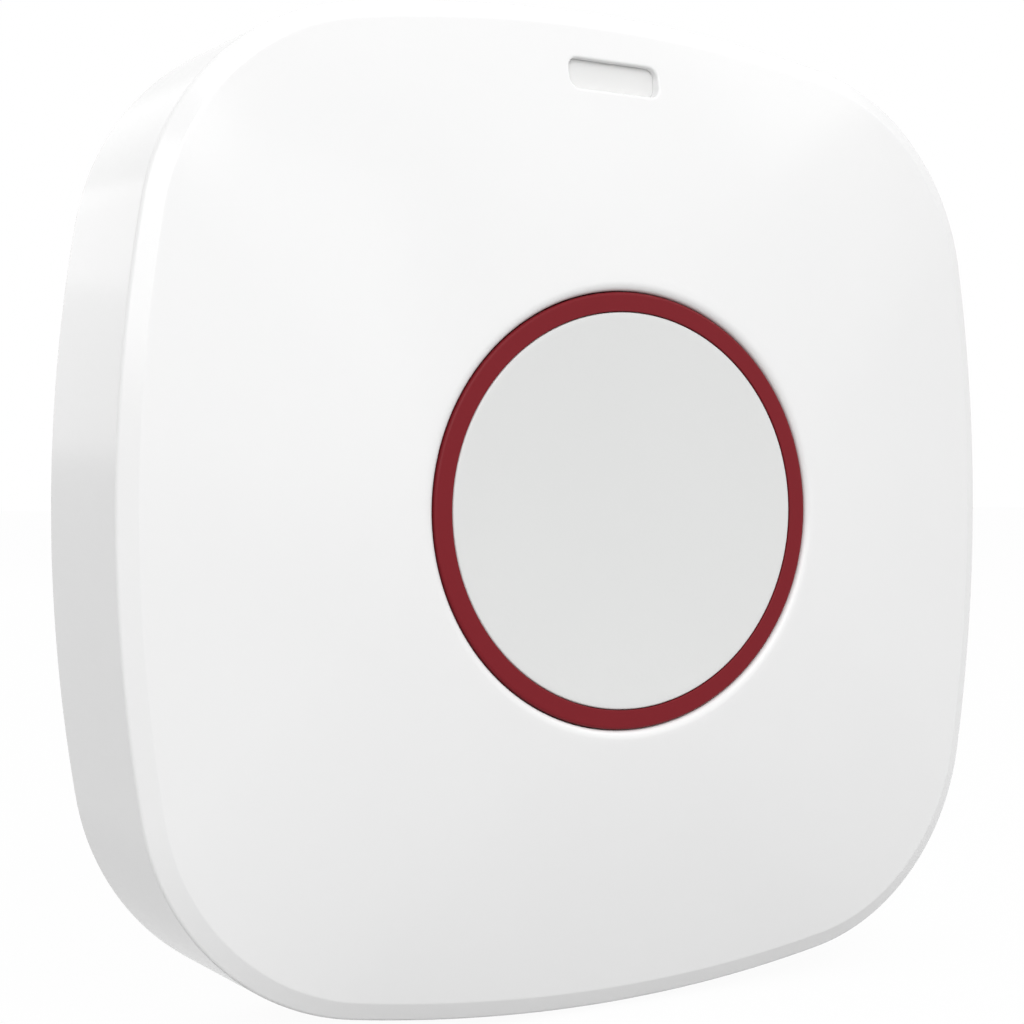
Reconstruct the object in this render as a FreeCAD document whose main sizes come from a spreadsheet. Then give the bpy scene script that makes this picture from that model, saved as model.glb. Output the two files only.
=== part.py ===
import FreeCAD, Part
import math
import os
import Sketcher

# A wireless panic button for a wall or a desk: a rounded square white housing, 63 mm across and 15 mm
# deep, with a large push button in its domed face. Everything is drawn lying on its back, with the wall at
# height 0 and the front upwards. At the end each piece is stood up: the front looks along -Y and +Z is up.

os.makedirs("parts", exist_ok=True)
doc = FreeCAD.newDocument("panic_button")

# Driving dimensions, in millimetres
SIZES = [
    ("half_width", 31.5, "middle to side wall, at the front of the wall"),
    ("wall_draft", 0.3, "how much further out the wall stands at the rear"),
    ("side_radius", 103.2, "radius of the shallow sides of the outline"),
    ("corner_radius", 15.5, "radius of its corners"),
    ("wall_depth", 12.0, "rear face to bevel"),
    ("bevel_inset", 1.05, "bevel, seen from the front"),
    ("bevel_depth", 0.6, "bevel, seen from the side"),
    ("dome_height", 3.5, "crown of the face above the bevel"),
    ("front_wall", 2.2, "side wall of the shell, at the bevel"),
    ("ceiling", 1.6, "thickness of the face"),
    ("opening_radius", 13.85, "round opening for the button"),
    ("opening_lip", 0.45, "bevelled lip of the opening"),
    ("crown_side_ratio", 1.08, "side radius of the dome's innermost contour, as a share of its half width"),
    ("crown_corner_ratio", 0.95, "corner radius of that contour, as a share of its half width"),
    ("collar_radius", 15.4, "outside of the collar that guides the button"),
    ("collar_depth", 12.6, "rear face of the shell to the rear end of the collar"),
    ("panel_thickness", 1.6, "rear panel"),
    ("rim_wall", 1.1, "shell wall beside the panel"),
    ("panel_gap", 0.15, "gap round the panel"),
    ("wall_hole_inset", 12.5, "side wall to the nearer wall screw"),
    ("wall_hole_radius", 2.1, "wall screw hole"),
    ("wall_sink_radius", 3.6, "its countersink"),
    ("wall_sink_depth", 0.6, "depth of the countersink"),
    ("cell_radius", 12.25, "coin cell"),
    ("cell_height", 5.0, "coin cell"),
    ("cell_gap", 0.5, "panel to coin cell"),
    ("cell_rib_height", 0.4, "two ribs on the panel that keep the cell seated"),
    ("cell_rib_length", 14.0, "such a rib"),
    ("cell_rib_place", 6.0, "middle to each rib"),
    ("cell_cap_radius", 10.9, "negative cap of the cell"),
    ("cell_cap_step", 0.3, "its step"),
    ("rib_wall", 1.0, "ribs of the plastic pieces"),
    ("holder_floor", 0.6, "floor of the battery holder"),
    ("holder_gap", 0.2, "gap round the cell"),
    ("holder_wall", 1.2, "wall of the battery holder"),
    ("holder_grip", 0.35, "how far the holder's lips reach over the cell"),
    ("grip_half_length", 4.0, "half of such a lip"),
    ("holder_peg", 1.1, "pegs of the holder"),
    ("finger_gap", 15.0, "gap in the holder's wall for a fingertip"),
    ("contact_gap", 0.05, "cell to positive contact"),
    ("sheet", 0.2, "sheet metal of contacts and shield"),
    ("contact_width", 5.0, "both battery contacts"),
    ("contact_foot", 3.2, "foot of the positive contact"),
    ("leaf_half_length", 5.0, "negative contact"),
    ("board_gap", 0.2, "board to the shell wall"),
    ("board_thickness", 1.0, "circuit board"),
    ("boss_inset", 11.0, "side wall to the middle of a boss"),
    ("boss_radius", 2.4, "boss of the shell"),
    ("pilot_radius", 0.82, "pilot hole in two of the bosses"),
    ("pilot_depth", 3.4, "its depth"),
    ("pin_radius", 0.9, "locating pin on the other two"),
    ("screw_radius", 0.8, "board screw shank"),
    ("screw_length", 4.0, "its length under the head"),
    ("screw_head_radius", 1.9, "its head"),
    ("screw_head_height", 1.3, "its head"),
    ("cross_length", 2.0, "cross recess of a screw head"),
    ("cross_width", 0.5, "its two bars"),
    ("cross_depth", 0.6, "its depth"),
    ("screw_clearance", 0.25, "round a screw where it passes freely"),
    ("switch_side", 6.2, "tactile switch"),
    ("switch_height", 2.5, "its body"),
    ("switch_cover", 0.3, "its cover plate"),
    ("switch_floor", 0.3, "its floor"),
    ("plunger_radius", 1.7, "its plunger"),
    ("plunger_spare", 0.3, "plunger above the body when pressed"),
    ("plunger_collar", 2.4, "its collar, inside the body"),
    ("collar_height", 0.6, "that collar"),
    ("plunger_gap", 0.1, "round the plunger"),
    ("button_travel", 0.8, "how far the button goes in"),
    ("button_gap", 0.22, "button to opening"),
    ("ring_drop", 0.12, "red ring behind the front of the lip"),
    ("ring_width", 1.22, "visible red ring"),
    ("plate_thickness", 0.8, "plate across the carrier"),
    ("post_radius", 2.2, "post that presses the switch"),
    ("post_length", 0.6, "its length"),
    ("lug_gap", 0.1, "lugs to collar at rest"),
    ("lug_thickness", 0.8, "lugs that hold the button in"),
    ("lug_width", 6.0, "lugs"),
    ("lug_reach", 15.2, "middle to the end of a lug"),
    ("cap_gap", 0.04, "cap to ring"),
    ("cap_step", 0.05, "cap rim behind the ring"),
    ("cap_dish", 0.35, "hollow of the cap"),
    ("cap_flat_radius", 4.0, "flat middle of the hollow"),
    ("hook_place", 9.0, "middle to each snap hook of the cap"),
    ("hook_width", 3.0, "snap hook"),
    ("hook_thickness", 0.9, "snap hook"),
    ("hook_barb", 0.4, "its barb"),
    ("hook_tip", 0.7, "how far it passes the plate"),
    ("hook_gap", 0.25, "round a snap hook"),
    ("spring_radius", 6.4, "return spring, to the middle of its wire"),
    ("spring_wire", 0.25, "radius of its wire"),
    ("spring_turns", 2.5, "its turns"),
    ("spring_nib", 0.7, "nibs on the plate that centre the spring"),
    ("seat_gap", 0.02, "bought parts to the faces that they rest on"),
    ("slot_inset", 4.1, "side wall to the middle of the indicator slot"),
    ("slot_length", 6.56, "indicator slot"),
    ("slot_height", 1.9, "indicator slot"),
    ("slot_corner", 0.65, "its corners"),
    ("slot_recess", 0.9, "face to light guide"),
    ("guide_gap", 0.06, "light guide to slot"),
    ("guide_flange", 0.8, "flange of the light guide"),
    ("guide_half_length", 6.4, "half the flange"),
    ("led_gap", 0.1, "status light to light guide"),
    ("peg_place", 5.2, "middle to each locating peg"),
    ("peg_radius", 0.6, "locating peg"),
    ("lock_depth", 4.2, "rear face to the lock screw"),
    ("lock_radius", 1.0, "lock screw shank"),
    ("lock_length", 5.0, "its length under the head"),
    ("lock_head_radius", 2.1, "its head"),
    ("lock_head_height", 1.1, "its head"),
    ("lock_sink", 1.2, "depth of its recess"),
    ("lock_boss_width", 7.0, "boss of the panel that takes it"),
    ("lock_boss_length", 4.0, "that boss, along the screw"),
    ("lock_boss_height", 5.0, "that boss, above the panel"),
    ("catch_place", 11.0, "middle to each catch of the panel"),
    ("catch_width", 6.0, "catch"),
    ("catch_wall", 1.2, "catch"),
    ("catch_height", 3.1, "catch, above the panel"),
    ("catch_setback", 1.3, "catch to shell wall"),
    ("catch_lip", 1.5, "lip of a catch"),
    ("catch_gap", 0.3, "round a catch"),
    ("shield_length", 11.0, "radio shield"),
    ("shield_width", 9.0, "radio shield"),
    ("shield_height", 1.8, "radio shield"),
    ("shield_inset", 12.0, "side wall to the middle of the shield"),
    ("shield_y", 8.0, "middle of the product to the middle of the shield"),
    ("chip_side", 7.0, "controller chip"),
    ("chip_height", 0.9, "chips"),
    ("chip_inset", 11.5, "side wall to the middle of the controller chip"),
    ("chip_y", 6.5, "middle to the controller chip"),
    ("radio_side", 4.0, "radio chip"),
    ("antenna_length", 22.0, "antenna strip"),
    ("antenna_width", 2.0, "antenna strip"),
    ("antenna_height", 2.6, "antenna above the board"),
    ("antenna_inset", 8.5, "side wall to the middle of the antenna"),
    ("antenna_feed", 4.0, "ground leg to feed leg"),
    ("crystal_length", 5.0, "crystal"),
    ("crystal_width", 3.2, "crystal"),
    ("crystal_x", 9.5, "middle to the crystal"),
    ("crystal_inset", 10.0, "side wall to the middle of the crystal"),
    ("led_length", 3.2, "status light"),
    ("led_width", 1.6, "status light"),
    ("led_height", 0.6, "its base"),
    ("led_lens", 0.7, "radius of its lens"),
    ("tamper_side", 6.0, "tamper switch"),
    ("tamper_height", 3.4, "tamper switch"),
    ("tamper_inset", 12.5, "side wall to the middle of the tamper switch"),
    ("tamper_y", 12.0, "middle to the tamper switch"),
    ("tamper_plunger", 1.5, "radius of its plunger"),
    ("tamper_rise", 0.8, "plunger above the body"),
    ("pairing_length", 4.5, "pairing switch"),
    ("pairing_width", 3.5, "pairing switch"),
    ("pairing_height", 1.4, "pairing switch"),
    ("pairing_inset", 11.5, "side wall to the middle of the pairing switch"),
    ("pairing_y", 10.0, "middle to the pairing switch"),
    ("pairing_plunger", 0.9, "radius of its plunger"),
    ("pairing_rise", 0.4, "plunger above the body"),
    ("capacitor_length", 1.6, "ceramic capacitor"),
    ("capacitor_width", 0.8, "ceramic capacitor"),
    ("capacitor_pitch", 1.8, "one capacitor to the next"),
    ("capacitor_inset", 11.5, "side wall to the middle of the row of capacitors"),
    ("capacitor_gap", 5.5, "boss to the row of capacitors, middle to middle"),
]
CAPACITORS = 5
DOME_BANDS = 3
LUGS = 3
WIRE_SIDES = 6

sheet = doc.addObject("Spreadsheet::Sheet", "sizes")
for row, (alias, number, note) in enumerate(SIZES, start=1):
    sheet.set(f"A{row}", note)
    sheet.set(f"B{row}", str(number))
    sheet.setAlias(f"B{row}", alias)
doc.recompute()

STAND_UP = FreeCAD.Placement(FreeCAD.Vector(0, 0, 0), FreeCAD.Rotation(FreeCAD.Vector(1, 0, 0), 90))
ON_ITS_SIDE = FreeCAD.Rotation(FreeCAD.Vector(1, 0, 0), 90)
pieces = []


def size(words):
    """An expression in which each plain name of the sheet is given as sizes.name."""
    names = {alias for alias, number, note in SIZES}
    out, word = [], ""
    for letter in words + " ":
        if letter.isalnum() or letter in "_.":
            word += letter
            continue
        out.append("sizes." + word if word in names else word)
        out.append(letter)
        word = ""
    return "".join(out).strip()


def value(words):
    """What such an expression comes to, in millimetres."""
    return float(sheet.evalExpression(size(words)))


# Levels that several pieces share, measured from the rear face
FACE = "(wall_depth + bevel_depth)"
OPENING_HALF = "(opening_radius + opening_lip)"
FACE_HALF = "(half_width - bevel_inset)"
CROWN_HALF = "(opening_radius - opening_lip)"
OPENING_TOP = f"({FACE} + dome_height * (1 - ({OPENING_HALF} / {FACE_HALF}) ^ 2))"
CELL_BACK = "(panel_thickness + cell_gap)"
CELL_FRONT = f"({CELL_BACK} + cell_height)"
BOARD_BACK = f"({CELL_FRONT} + holder_floor)"
BOARD_FRONT = f"({BOARD_BACK} + board_thickness)"
SWITCH_TOP = f"({BOARD_FRONT} + switch_height)"
PLUNGER_TOP = f"({SWITCH_TOP} + button_travel + plunger_spare)"
PLATE_BACK = f"({PLUNGER_TOP} + post_length)"
PLATE_FRONT = f"({PLATE_BACK} + plate_thickness)"
RING_FRONT = f"({OPENING_TOP} - ring_drop)"
RING_OUTER = "(opening_radius - button_gap)"
RING_INNER = f"({RING_OUTER} - ring_width)"
LUG_FRONT = "(collar_depth - lug_gap)"
LUG_BACK = f"({LUG_FRONT} - lug_thickness)"
INNER_HALF = "(half_width - front_wall)"
INNER_FACE = f"({FACE} - ceiling)"
CENTRES_BACK = "(side_radius - half_width)"
CORNER_CENTRE = f"((2 * (side_radius - corner_radius) ^ 2 - {CENTRES_BACK} ^ 2) ^ 0.5 - {CENTRES_BACK}) / 2"
CATCH_Y = f"({INNER_HALF} - catch_setback)"
LIP_BACK = "(panel_thickness + catch_height - catch_wall)"
LOCK_SEAT = "(lock_sink - half_width)"
SLOT_Y = "(half_width - slot_inset)"
PEG_Y = f"({SLOT_Y} - slot_height / 2)"
NIB_END = "((spring_radius - spring_wire - plunger_gap) ^ 2 - hook_width ^ 2 / 4) ^ 0.5"
HOLDER_MIDDLE = "(cell_radius + holder_gap + holder_wall / 2)"
CONTACT_WIDTH = "(contact_width + 2 * holder_gap)"
LEAF_END = "leaf_half_length + holder_gap"
WALL_HOLE_X = "(half_width - wall_hole_inset)"
BOSS = "(half_width - boss_inset)"
SCREWS = [(BOSS, BOSS), (f"0 - {BOSS}", f"0 - {BOSS}")]
PINS = [(BOSS, f"0 - {BOSS}"), (f"0 - {BOSS}", BOSS)]
TAMPER = ("half_width - tamper_inset", "0 - tamper_y")
PAIRING = ("pairing_inset - half_width", "pairing_y")
SHIELD_X = "(half_width - shield_inset)"
TAMPER_TOP = f"({BOARD_BACK} - tamper_height - tamper_rise)"
GUIDE_BACK = f"({BOARD_FRONT} + led_height + led_lens + led_gap)"
GUIDE_FRONT = f"({FACE} + dome_height * (1 - ({SLOT_Y} / {FACE_HALF}) ^ 2) - slot_recess)"


def new_body(label):
    """A body that becomes one piece of the product."""
    made = doc.addObject("PartDesign::Body", label)
    made.Label = label
    pieces.append(made)
    return made


def bind(made, **expressions):
    """Ties properties to expressions. Two underscores in a name stand for a full stop."""
    for name, words in expressions.items():
        made.setExpression(name.replace("__", "."), size(str(words)))
    return made


def new_sketch(body, name, depth="0", plane="XY_Plane"):
    """An empty sketch on one of the body's own planes, moved along that plane's normal."""
    made = body.newObject("Sketcher::SketchObject", name)
    origin = [item for item in body.Origin.OriginFeatures if item.Role == plane]
    made.AttachmentSupport = [(origin[0], "")]
    made.MapMode = "FlatFace"
    return bind(made, AttachmentOffset__Base__z=depth)


def dimension(sketch, kind, ends, words):
    """A dimension of the sketch that follows an expression."""
    index = sketch.addConstraint(Sketcher.Constraint(kind, *ends, value(words)))
    sketch.setExpression(f"Constraints[{index}]", size(words))


def place_point(sketch, geometry, point, x, y):
    """Fixes a point of the sketch at a distance from the origin along both axes."""
    dimension(sketch, "DistanceX", (-1, 1, geometry, point), x)
    dimension(sketch, "DistanceY", (-1, 1, geometry, point), y)


def rounded_outline(body, name, depth, half, side, corner):
    """Eight tangent arcs: four shallow sides and four corners. The centre of a side arc lies on an axis,
    beyond the middle, and a corner arc's centre (c, c) lies where its circle touches both side circles."""
    sketch = new_sketch(body, name, depth)
    big, small, back = value(side), value(corner), value(f"{side} - ({half})")
    c = (math.sqrt(2 * (big - small) ** 2 - back**2) - back) / 2
    turn = math.atan2(c, c + back)
    up = FreeCAD.Vector(0, 0, 1)
    for quarter in range(4):
        start = quarter * math.pi / 2
        spin = FreeCAD.Rotation(up, math.degrees(start))
        side_circle = Part.Circle(spin.multVec(FreeCAD.Vector(-back, 0, 0)), up, big)
        sketch.addGeometry(Part.ArcOfCircle(side_circle, start - turn, start + turn))
        corner_circle = Part.Circle(spin.multVec(FreeCAD.Vector(c, c, 0)), up, small)
        sketch.addGeometry(Part.ArcOfCircle(corner_circle, start + turn, start + math.pi / 2 - turn))
    for arc in range(8):
        sketch.addConstraint(Sketcher.Constraint("Tangent", arc, 2, (arc + 1) % 8, 1))
    for arc in range(2, 8):
        sketch.addConstraint(Sketcher.Constraint("Equal", arc % 2, arc))
    dimension(sketch, "Radius", (0,), side)
    dimension(sketch, "Radius", (1,), corner)
    offset = f"{side} - ({half})"
    for arc, axis, kind, ends in (
        (0, -1, "DistanceX", (0, 3, -1, 1)),
        (2, -2, "DistanceY", (2, 3, -1, 1)),
        (4, -1, "DistanceX", (-1, 1, 4, 3)),
        (6, -2, "DistanceY", (-1, 1, 6, 3)),
    ):
        sketch.addConstraint(Sketcher.Constraint("PointOnObject", arc, 3, axis))
        dimension(sketch, kind, ends, offset)
    return sketch


def housing_outline(body, name, depth, inset):
    """The housing's outline, moved evenly inwards."""
    radii = ("half_width", "side_radius", "corner_radius")
    half, side, corner = (f"{radius} - ({inset})" for radius in radii)
    return rounded_outline(body, name, depth, half, side, corner)


def dome_outline(body, name, share):
    """A contour of the dome. Share runs from 0 at the face's edge to 1 just inside the opening. The contour
    turns from the housing's outline into a near circle, and its height falls with its width squared."""

    def between(edge, crown):
        return f"({edge} + ({crown} - {edge}) * {share})"

    half = between(FACE_HALF, CROWN_HALF)
    side = between("(side_radius - bevel_inset)", f"{CROWN_HALF} * crown_side_ratio")
    corner = between("(corner_radius - bevel_inset)", f"{CROWN_HALF} * crown_corner_ratio")
    depth = f"{FACE} + dome_height * (1 - ({half} / {FACE_HALF}) ^ 2)"
    return rounded_outline(body, name, depth, half, side, corner)


def circles(sketch, rows):
    """Circles, each given as x, y and radius."""
    up = FreeCAD.Vector(0, 0, 1)
    for x, y, radius in rows:
        middle = FreeCAD.Vector(value(x), value(y), 0)
        index = sketch.addGeometry(Part.Circle(middle, up, value(radius)))
        dimension(sketch, "Radius", (index,), radius)
        place_point(sketch, index, 3, x, y)
    return sketch


def outline(sketch, points):
    """A closed outline of straight lines through points given as x and y."""
    spots = [FreeCAD.Vector(value(x), value(y), 0) for x, y in points]
    count = len(spots)
    for index in range(count):
        sketch.addGeometry(Part.LineSegment(spots[index], spots[(index + 1) % count]))
    for index in range(count):
        sketch.addConstraint(Sketcher.Constraint("Coincident", index, 2, (index + 1) % count, 1))
        place_point(sketch, index, 1, *points[index])
    return sketch


def rounded_rectangle(sketch, left, right, low, high, corner):
    """A rectangle with four equal round corners."""
    x0, x1, y0, y1, r = (value(words) for words in (left, right, low, high, corner))
    up = FreeCAD.Vector(0, 0, 1)
    ends = [
        ((x0 + r, y0), (x1 - r, y0), (x1 - r, y0 + r)),
        ((x1, y0 + r), (x1, y1 - r), (x1 - r, y1 - r)),
        ((x1 - r, y1), (x0 + r, y1), (x0 + r, y1 - r)),
        ((x0, y1 - r), (x0, y0 + r), (x0 + r, y0 + r)),
    ]
    for side, (start, end, middle) in enumerate(ends):
        sketch.addGeometry(Part.LineSegment(FreeCAD.Vector(*start, 0), FreeCAD.Vector(*end, 0)))
        circle = Part.Circle(FreeCAD.Vector(*middle, 0), up, r)
        turn = (side - 1) * math.pi / 2
        sketch.addGeometry(Part.ArcOfCircle(circle, turn, turn + math.pi / 2))
    for index in range(8):
        sketch.addConstraint(Sketcher.Constraint("Tangent", index, 2, (index + 1) % 8, 1))
    for index, kind in ((0, "Horizontal"), (2, "Vertical"), (4, "Horizontal"), (6, "Vertical")):
        sketch.addConstraint(Sketcher.Constraint(kind, index))
    for index in (3, 5, 7):
        sketch.addConstraint(Sketcher.Constraint("Equal", 1, index))
    dimension(sketch, "Radius", (1,), corner)
    for index, kind, words in ((0, "DistanceY", low), (2, "DistanceX", right)):
        dimension(sketch, kind, (-1, 1, index, 1), words)
    for index, kind, words in ((4, "DistanceY", high), (6, "DistanceX", left)):
        dimension(sketch, kind, (-1, 1, index, 1), words)
    return sketch


def pad(body, name, profile, length):
    """Material from the sketch forwards."""
    made = body.newObject("PartDesign::Pad", name)
    made.Profile = profile
    return bind(made, Length=length)


def pocket(body, name, profile, length):
    """A hole from the sketch forwards."""
    made = body.newObject("PartDesign::Pocket", name)
    made.Profile = profile
    made.Reversed = True
    return bind(made, Length=length)


def loft(body, name, kind, profile, sections, ruled):
    """A skin over several outlines, added or cut away."""
    made = body.newObject(f"PartDesign::{kind}Loft", name)
    made.Profile = profile
    made.Sections = sections
    made.Ruled = ruled
    return made


def turned(body, name, kind, profile):
    """The profile turned a full circle round the sketch's upright axis."""
    made = body.newObject(f"PartDesign::{kind}", name)
    made.Profile = profile
    made.ReferenceAxis = (profile, ["V_Axis"])
    made.Angle = 360
    return made


def block(body, name, kind, lows, lengths, turn=0):
    """A block from its lowest corner, added or cut away, then turned about the upright axis."""
    made = body.newObject(f"PartDesign::{kind}Box", name)
    made.Placement.Rotation = FreeCAD.Rotation(FreeCAD.Vector(0, 0, 1), turn)
    x, y, z = lows
    cos, sin = math.cos(math.radians(turn)), math.sin(math.radians(turn))
    bind(made, Length=lengths[0], Width=lengths[1], Height=lengths[2], Placement__Base__z=z)
    across = f"({x}) * {cos:.9f} - ({y}) * {sin:.9f}"
    along = f"({x}) * {sin:.9f} + ({y}) * {cos:.9f}"
    return bind(made, Placement__Base__x=across, Placement__Base__y=along)


def drum(body, name, kind, spot, radius, height, lying=False):
    """A cylinder from the middle of its lower end, or lying, from its front end towards -Y."""
    made = body.newObject(f"PartDesign::{kind}Cylinder", name)
    if lying:
        made.Placement.Rotation = ON_ITS_SIDE
    x, y, z = spot
    bind(made, Radius=radius, Height=height)
    return bind(made, Placement__Base__x=x, Placement__Base__y=y, Placement__Base__z=z)


def plain_box(name, lows, lengths):
    """A block on its own, from its lowest corner."""
    made = doc.addObject("Part::Box", name)
    x, y, z = lows
    bind(made, Length=lengths[0], Width=lengths[1], Height=lengths[2])
    return bind(made, Placement__Base__x=x, Placement__Base__y=y, Placement__Base__z=z)


def plain_drum(name, spot, radius, height):
    """A cylinder on its own, from the middle of its lower end."""
    made = doc.addObject("Part::Cylinder", name)
    x, y, z = spot
    bind(made, Radius=radius, Height=height)
    return bind(made, Placement__Base__x=x, Placement__Base__y=y, Placement__Base__z=z)


def joined(name, shapes):
    """Several shapes made one."""
    made = doc.addObject("Part::MultiFuse", name)
    made.Shapes = shapes
    return made


def less(name, base, tool):
    """The base with the tool's shape taken away."""
    made = doc.addObject("Part::Cut", name)
    made.Base = base
    made.Tool = tool
    return made


def piece(made, label):
    """Names a finished piece."""
    made.Label = label
    pieces.append(made)
    return made


def front_shell():
    """One moulding: side wall with draft, narrow bevel, domed face, guide collar for the button, four
    bosses with gussets for the board, and the recesses that take the rear panel and its lock screw."""
    body = new_body("front_shell")
    rim = housing_outline(body, "rim_outline", "0", "0 - wall_draft")
    shoulder = housing_outline(body, "shoulder_outline", "wall_depth", "0")
    face = housing_outline(body, "face_outline", FACE, "bevel_inset")
    loft(body, "side_wall", "Additive", rim, [shoulder, face], True)
    edge = housing_outline(body, "dome_edge", FACE, "bevel_inset")
    contours = []
    for band in range(1, DOME_BANDS + 1):
        contours.append(dome_outline(body, f"dome_outline_{band}", f"{band} / {DOME_BANDS}"))
    loft(body, "dome", "Additive", edge, contours, True)

    mouth = housing_outline(body, "mouth_outline", "0", "front_wall")
    pocket(body, "cavity", mouth, INNER_FACE)
    inner_dome = outline(
        new_sketch(body, "inner_dome_profile", "0", "XZ_Plane"),
        [
            ("0", f"{INNER_FACE} - ceiling"),
            (INNER_HALF, f"{INNER_FACE} - ceiling"),
            (INNER_HALF, INNER_FACE),
            (OPENING_HALF, f"{OPENING_TOP} - ceiling"),
            ("0", f"{OPENING_TOP} - ceiling"),
        ],
    )
    turned(body, "inner_dome", "Groove", inner_dome)
    seat = housing_outline(body, "panel_seat_outline", "0", "rim_wall - wall_draft")
    pocket(body, "panel_seat", seat, "panel_thickness")

    collar = circles(new_sketch(body, "collar_outline", "collar_depth"), [("0", "0", "collar_radius")])
    pad(body, "collar", collar, f"{OPENING_TOP} - ceiling / 2 - collar_depth")
    bosses = [spot + ("boss_radius",) for spot in SCREWS + PINS]
    bosses = circles(new_sketch(body, "boss_outlines", BOARD_FRONT), bosses)
    pad(body, "bosses", bosses, f"{FACE} - {BOARD_FRONT}")
    gusset_low = f"{BOARD_FRONT} + board_thickness"
    gusset_start = f"{BOSS} * 2 ^ 0.5 + boss_radius / 2"
    gusset_end = f"({CORNER_CENTRE} * 2 ^ 0.5 + corner_radius - front_wall / 2)"
    gusset_lengths = (f"{gusset_end} - ({gusset_start})", "rib_wall", f"{FACE} - ({gusset_low})")
    for index in range(4):
        lows = (gusset_start, "0 - rib_wall / 2", gusset_low)
        block(body, f"gusset_{index}", "Additive", lows, gusset_lengths, 45 + 90 * index)
    pilots = [spot + ("pilot_radius",) for spot in SCREWS]
    pilots = circles(new_sketch(body, "pilot_outlines", BOARD_FRONT), pilots)
    pocket(body, "pilot_holes", pilots, "pilot_depth")
    pins = [spot + ("pin_radius",) for spot in PINS]
    pins = circles(new_sketch(body, "pin_outlines", BOARD_BACK), pins)
    pad(body, "locating_pins", pins, "board_thickness")

    opening = outline(
        new_sketch(body, "opening_profile", "0", "XZ_Plane"),
        [
            ("0", "0"),
            ("opening_radius", "0"),
            ("opening_radius", f"{OPENING_TOP} - opening_lip"),
            (OPENING_HALF, OPENING_TOP),
            (OPENING_HALF, f"{OPENING_TOP} + opening_lip"),
            ("0", f"{OPENING_TOP} + opening_lip"),
        ],
    )
    turned(body, "opening", "Groove", opening)
    pegs = [(f"{i} * peg_place", PEG_Y, "peg_radius") for i in (-1, 1)]
    pegs = circles(new_sketch(body, "peg_outlines", GUIDE_BACK), pegs)
    pad(body, "guide_pegs", pegs, f"{FACE} - {GUIDE_BACK}")
    slot = new_sketch(body, "slot_outline", INNER_FACE)
    sides = [f"{SLOT_Y} - slot_height / 2", f"{SLOT_Y} + slot_height / 2"]
    rounded_rectangle(slot, "0 - slot_length / 2", "slot_length / 2", *sides, "slot_corner")
    pocket(body, "indicator_slot", slot, "dome_height + ceiling")

    for index, i in enumerate((-1, 1)):
        left = f"{i} * catch_place - catch_width / 2 - catch_gap"
        lows = (left, f"{CATCH_Y} - catch_gap", f"{LIP_BACK} - catch_gap")
        lengths = [f"{length} + 2 * catch_gap" for length in ("catch_width", "catch_lip", "catch_wall")]
        block(body, f"catch_recess_{index}", "Subtractive", lows, lengths)
    inside = ("0", f"catch_setback - {INNER_HALF}", "lock_depth")
    drum(body, "lock_hole", "Subtractive", inside, "lock_radius + screw_clearance", "2 * front_wall", True)
    recess = ("0", LOCK_SEAT, "lock_depth")
    clear = "lock_head_radius + screw_clearance"
    drum(body, "lock_recess", "Subtractive", recess, clear, "2 * lock_sink", True)


def rear_panel():
    """The wall panel, let into the back of the shell: two countersunk wall screw holes, two catches that
    hook into the top wall, a boss for the lock screw, two ribs against the cell and a post at the tamper
    switch."""
    body = new_body("rear_panel")
    edge = housing_outline(body, "panel_outline", "0", "rim_wall + panel_gap - wall_draft")
    pad(body, "plate", edge, "panel_thickness")
    for index, j in enumerate((-1, 1)):
        lows = ("0 - cell_rib_length / 2", f"{j} * cell_rib_place - rib_wall / 2", "panel_thickness")
        lengths = ("cell_rib_length", "rib_wall", "cell_rib_height")
        block(body, f"cell_rib_{index}", "Additive", lows, lengths)
    post = new_sketch(body, "tamper_post_outline", "panel_thickness")
    circles(post, [TAMPER + ("tamper_plunger",)])
    pad(body, "tamper_post", post, f"{TAMPER_TOP} - seat_gap - panel_thickness")
    for index, i in enumerate((-1, 1)):
        left = f"{i} * catch_place - catch_width / 2"
        lows = (left, f"{CATCH_Y} - catch_wall", "panel_thickness")
        block(body, f"catch_{index}", "Additive", lows, ("catch_width", "catch_wall", "catch_height"))
        barb = ("catch_width", "catch_lip", "catch_wall")
        block(body, f"catch_lip_{index}", "Additive", (left, CATCH_Y, LIP_BACK), barb)
    lows = ("0 - lock_boss_width / 2", f"catch_setback / 2 - {INNER_HALF}", "panel_thickness")
    lengths = ("lock_boss_width", "lock_boss_length", "lock_boss_height")
    block(body, "lock_boss", "Additive", lows, lengths)
    inside = ("0", f"catch_setback / 2 - {INNER_HALF} + 2 * lock_boss_length", "lock_depth")
    drum(body, "lock_pilot", "Subtractive", inside, "lock_radius + seat_gap", "3 * lock_boss_length", True)
    for index, i in enumerate((-1, 1)):
        hole = outline(
            new_sketch(body, f"wall_hole_profile_{index}", "0", "XZ_Plane"),
            [
                (f"{i} * {WALL_HOLE_X}", "0"),
                (f"{i} * {WALL_HOLE_X} + wall_hole_radius", "0"),
                (f"{i} * {WALL_HOLE_X} + wall_hole_radius", "panel_thickness - wall_sink_depth"),
                (f"{i} * {WALL_HOLE_X} + wall_sink_radius", "panel_thickness"),
                (f"{i} * {WALL_HOLE_X}", "panel_thickness"),
            ],
        )
        made = turned(body, f"wall_hole_{index}", "Groove", hole)
        made.ReferenceAxis = (hole, ["Edge5"])


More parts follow.
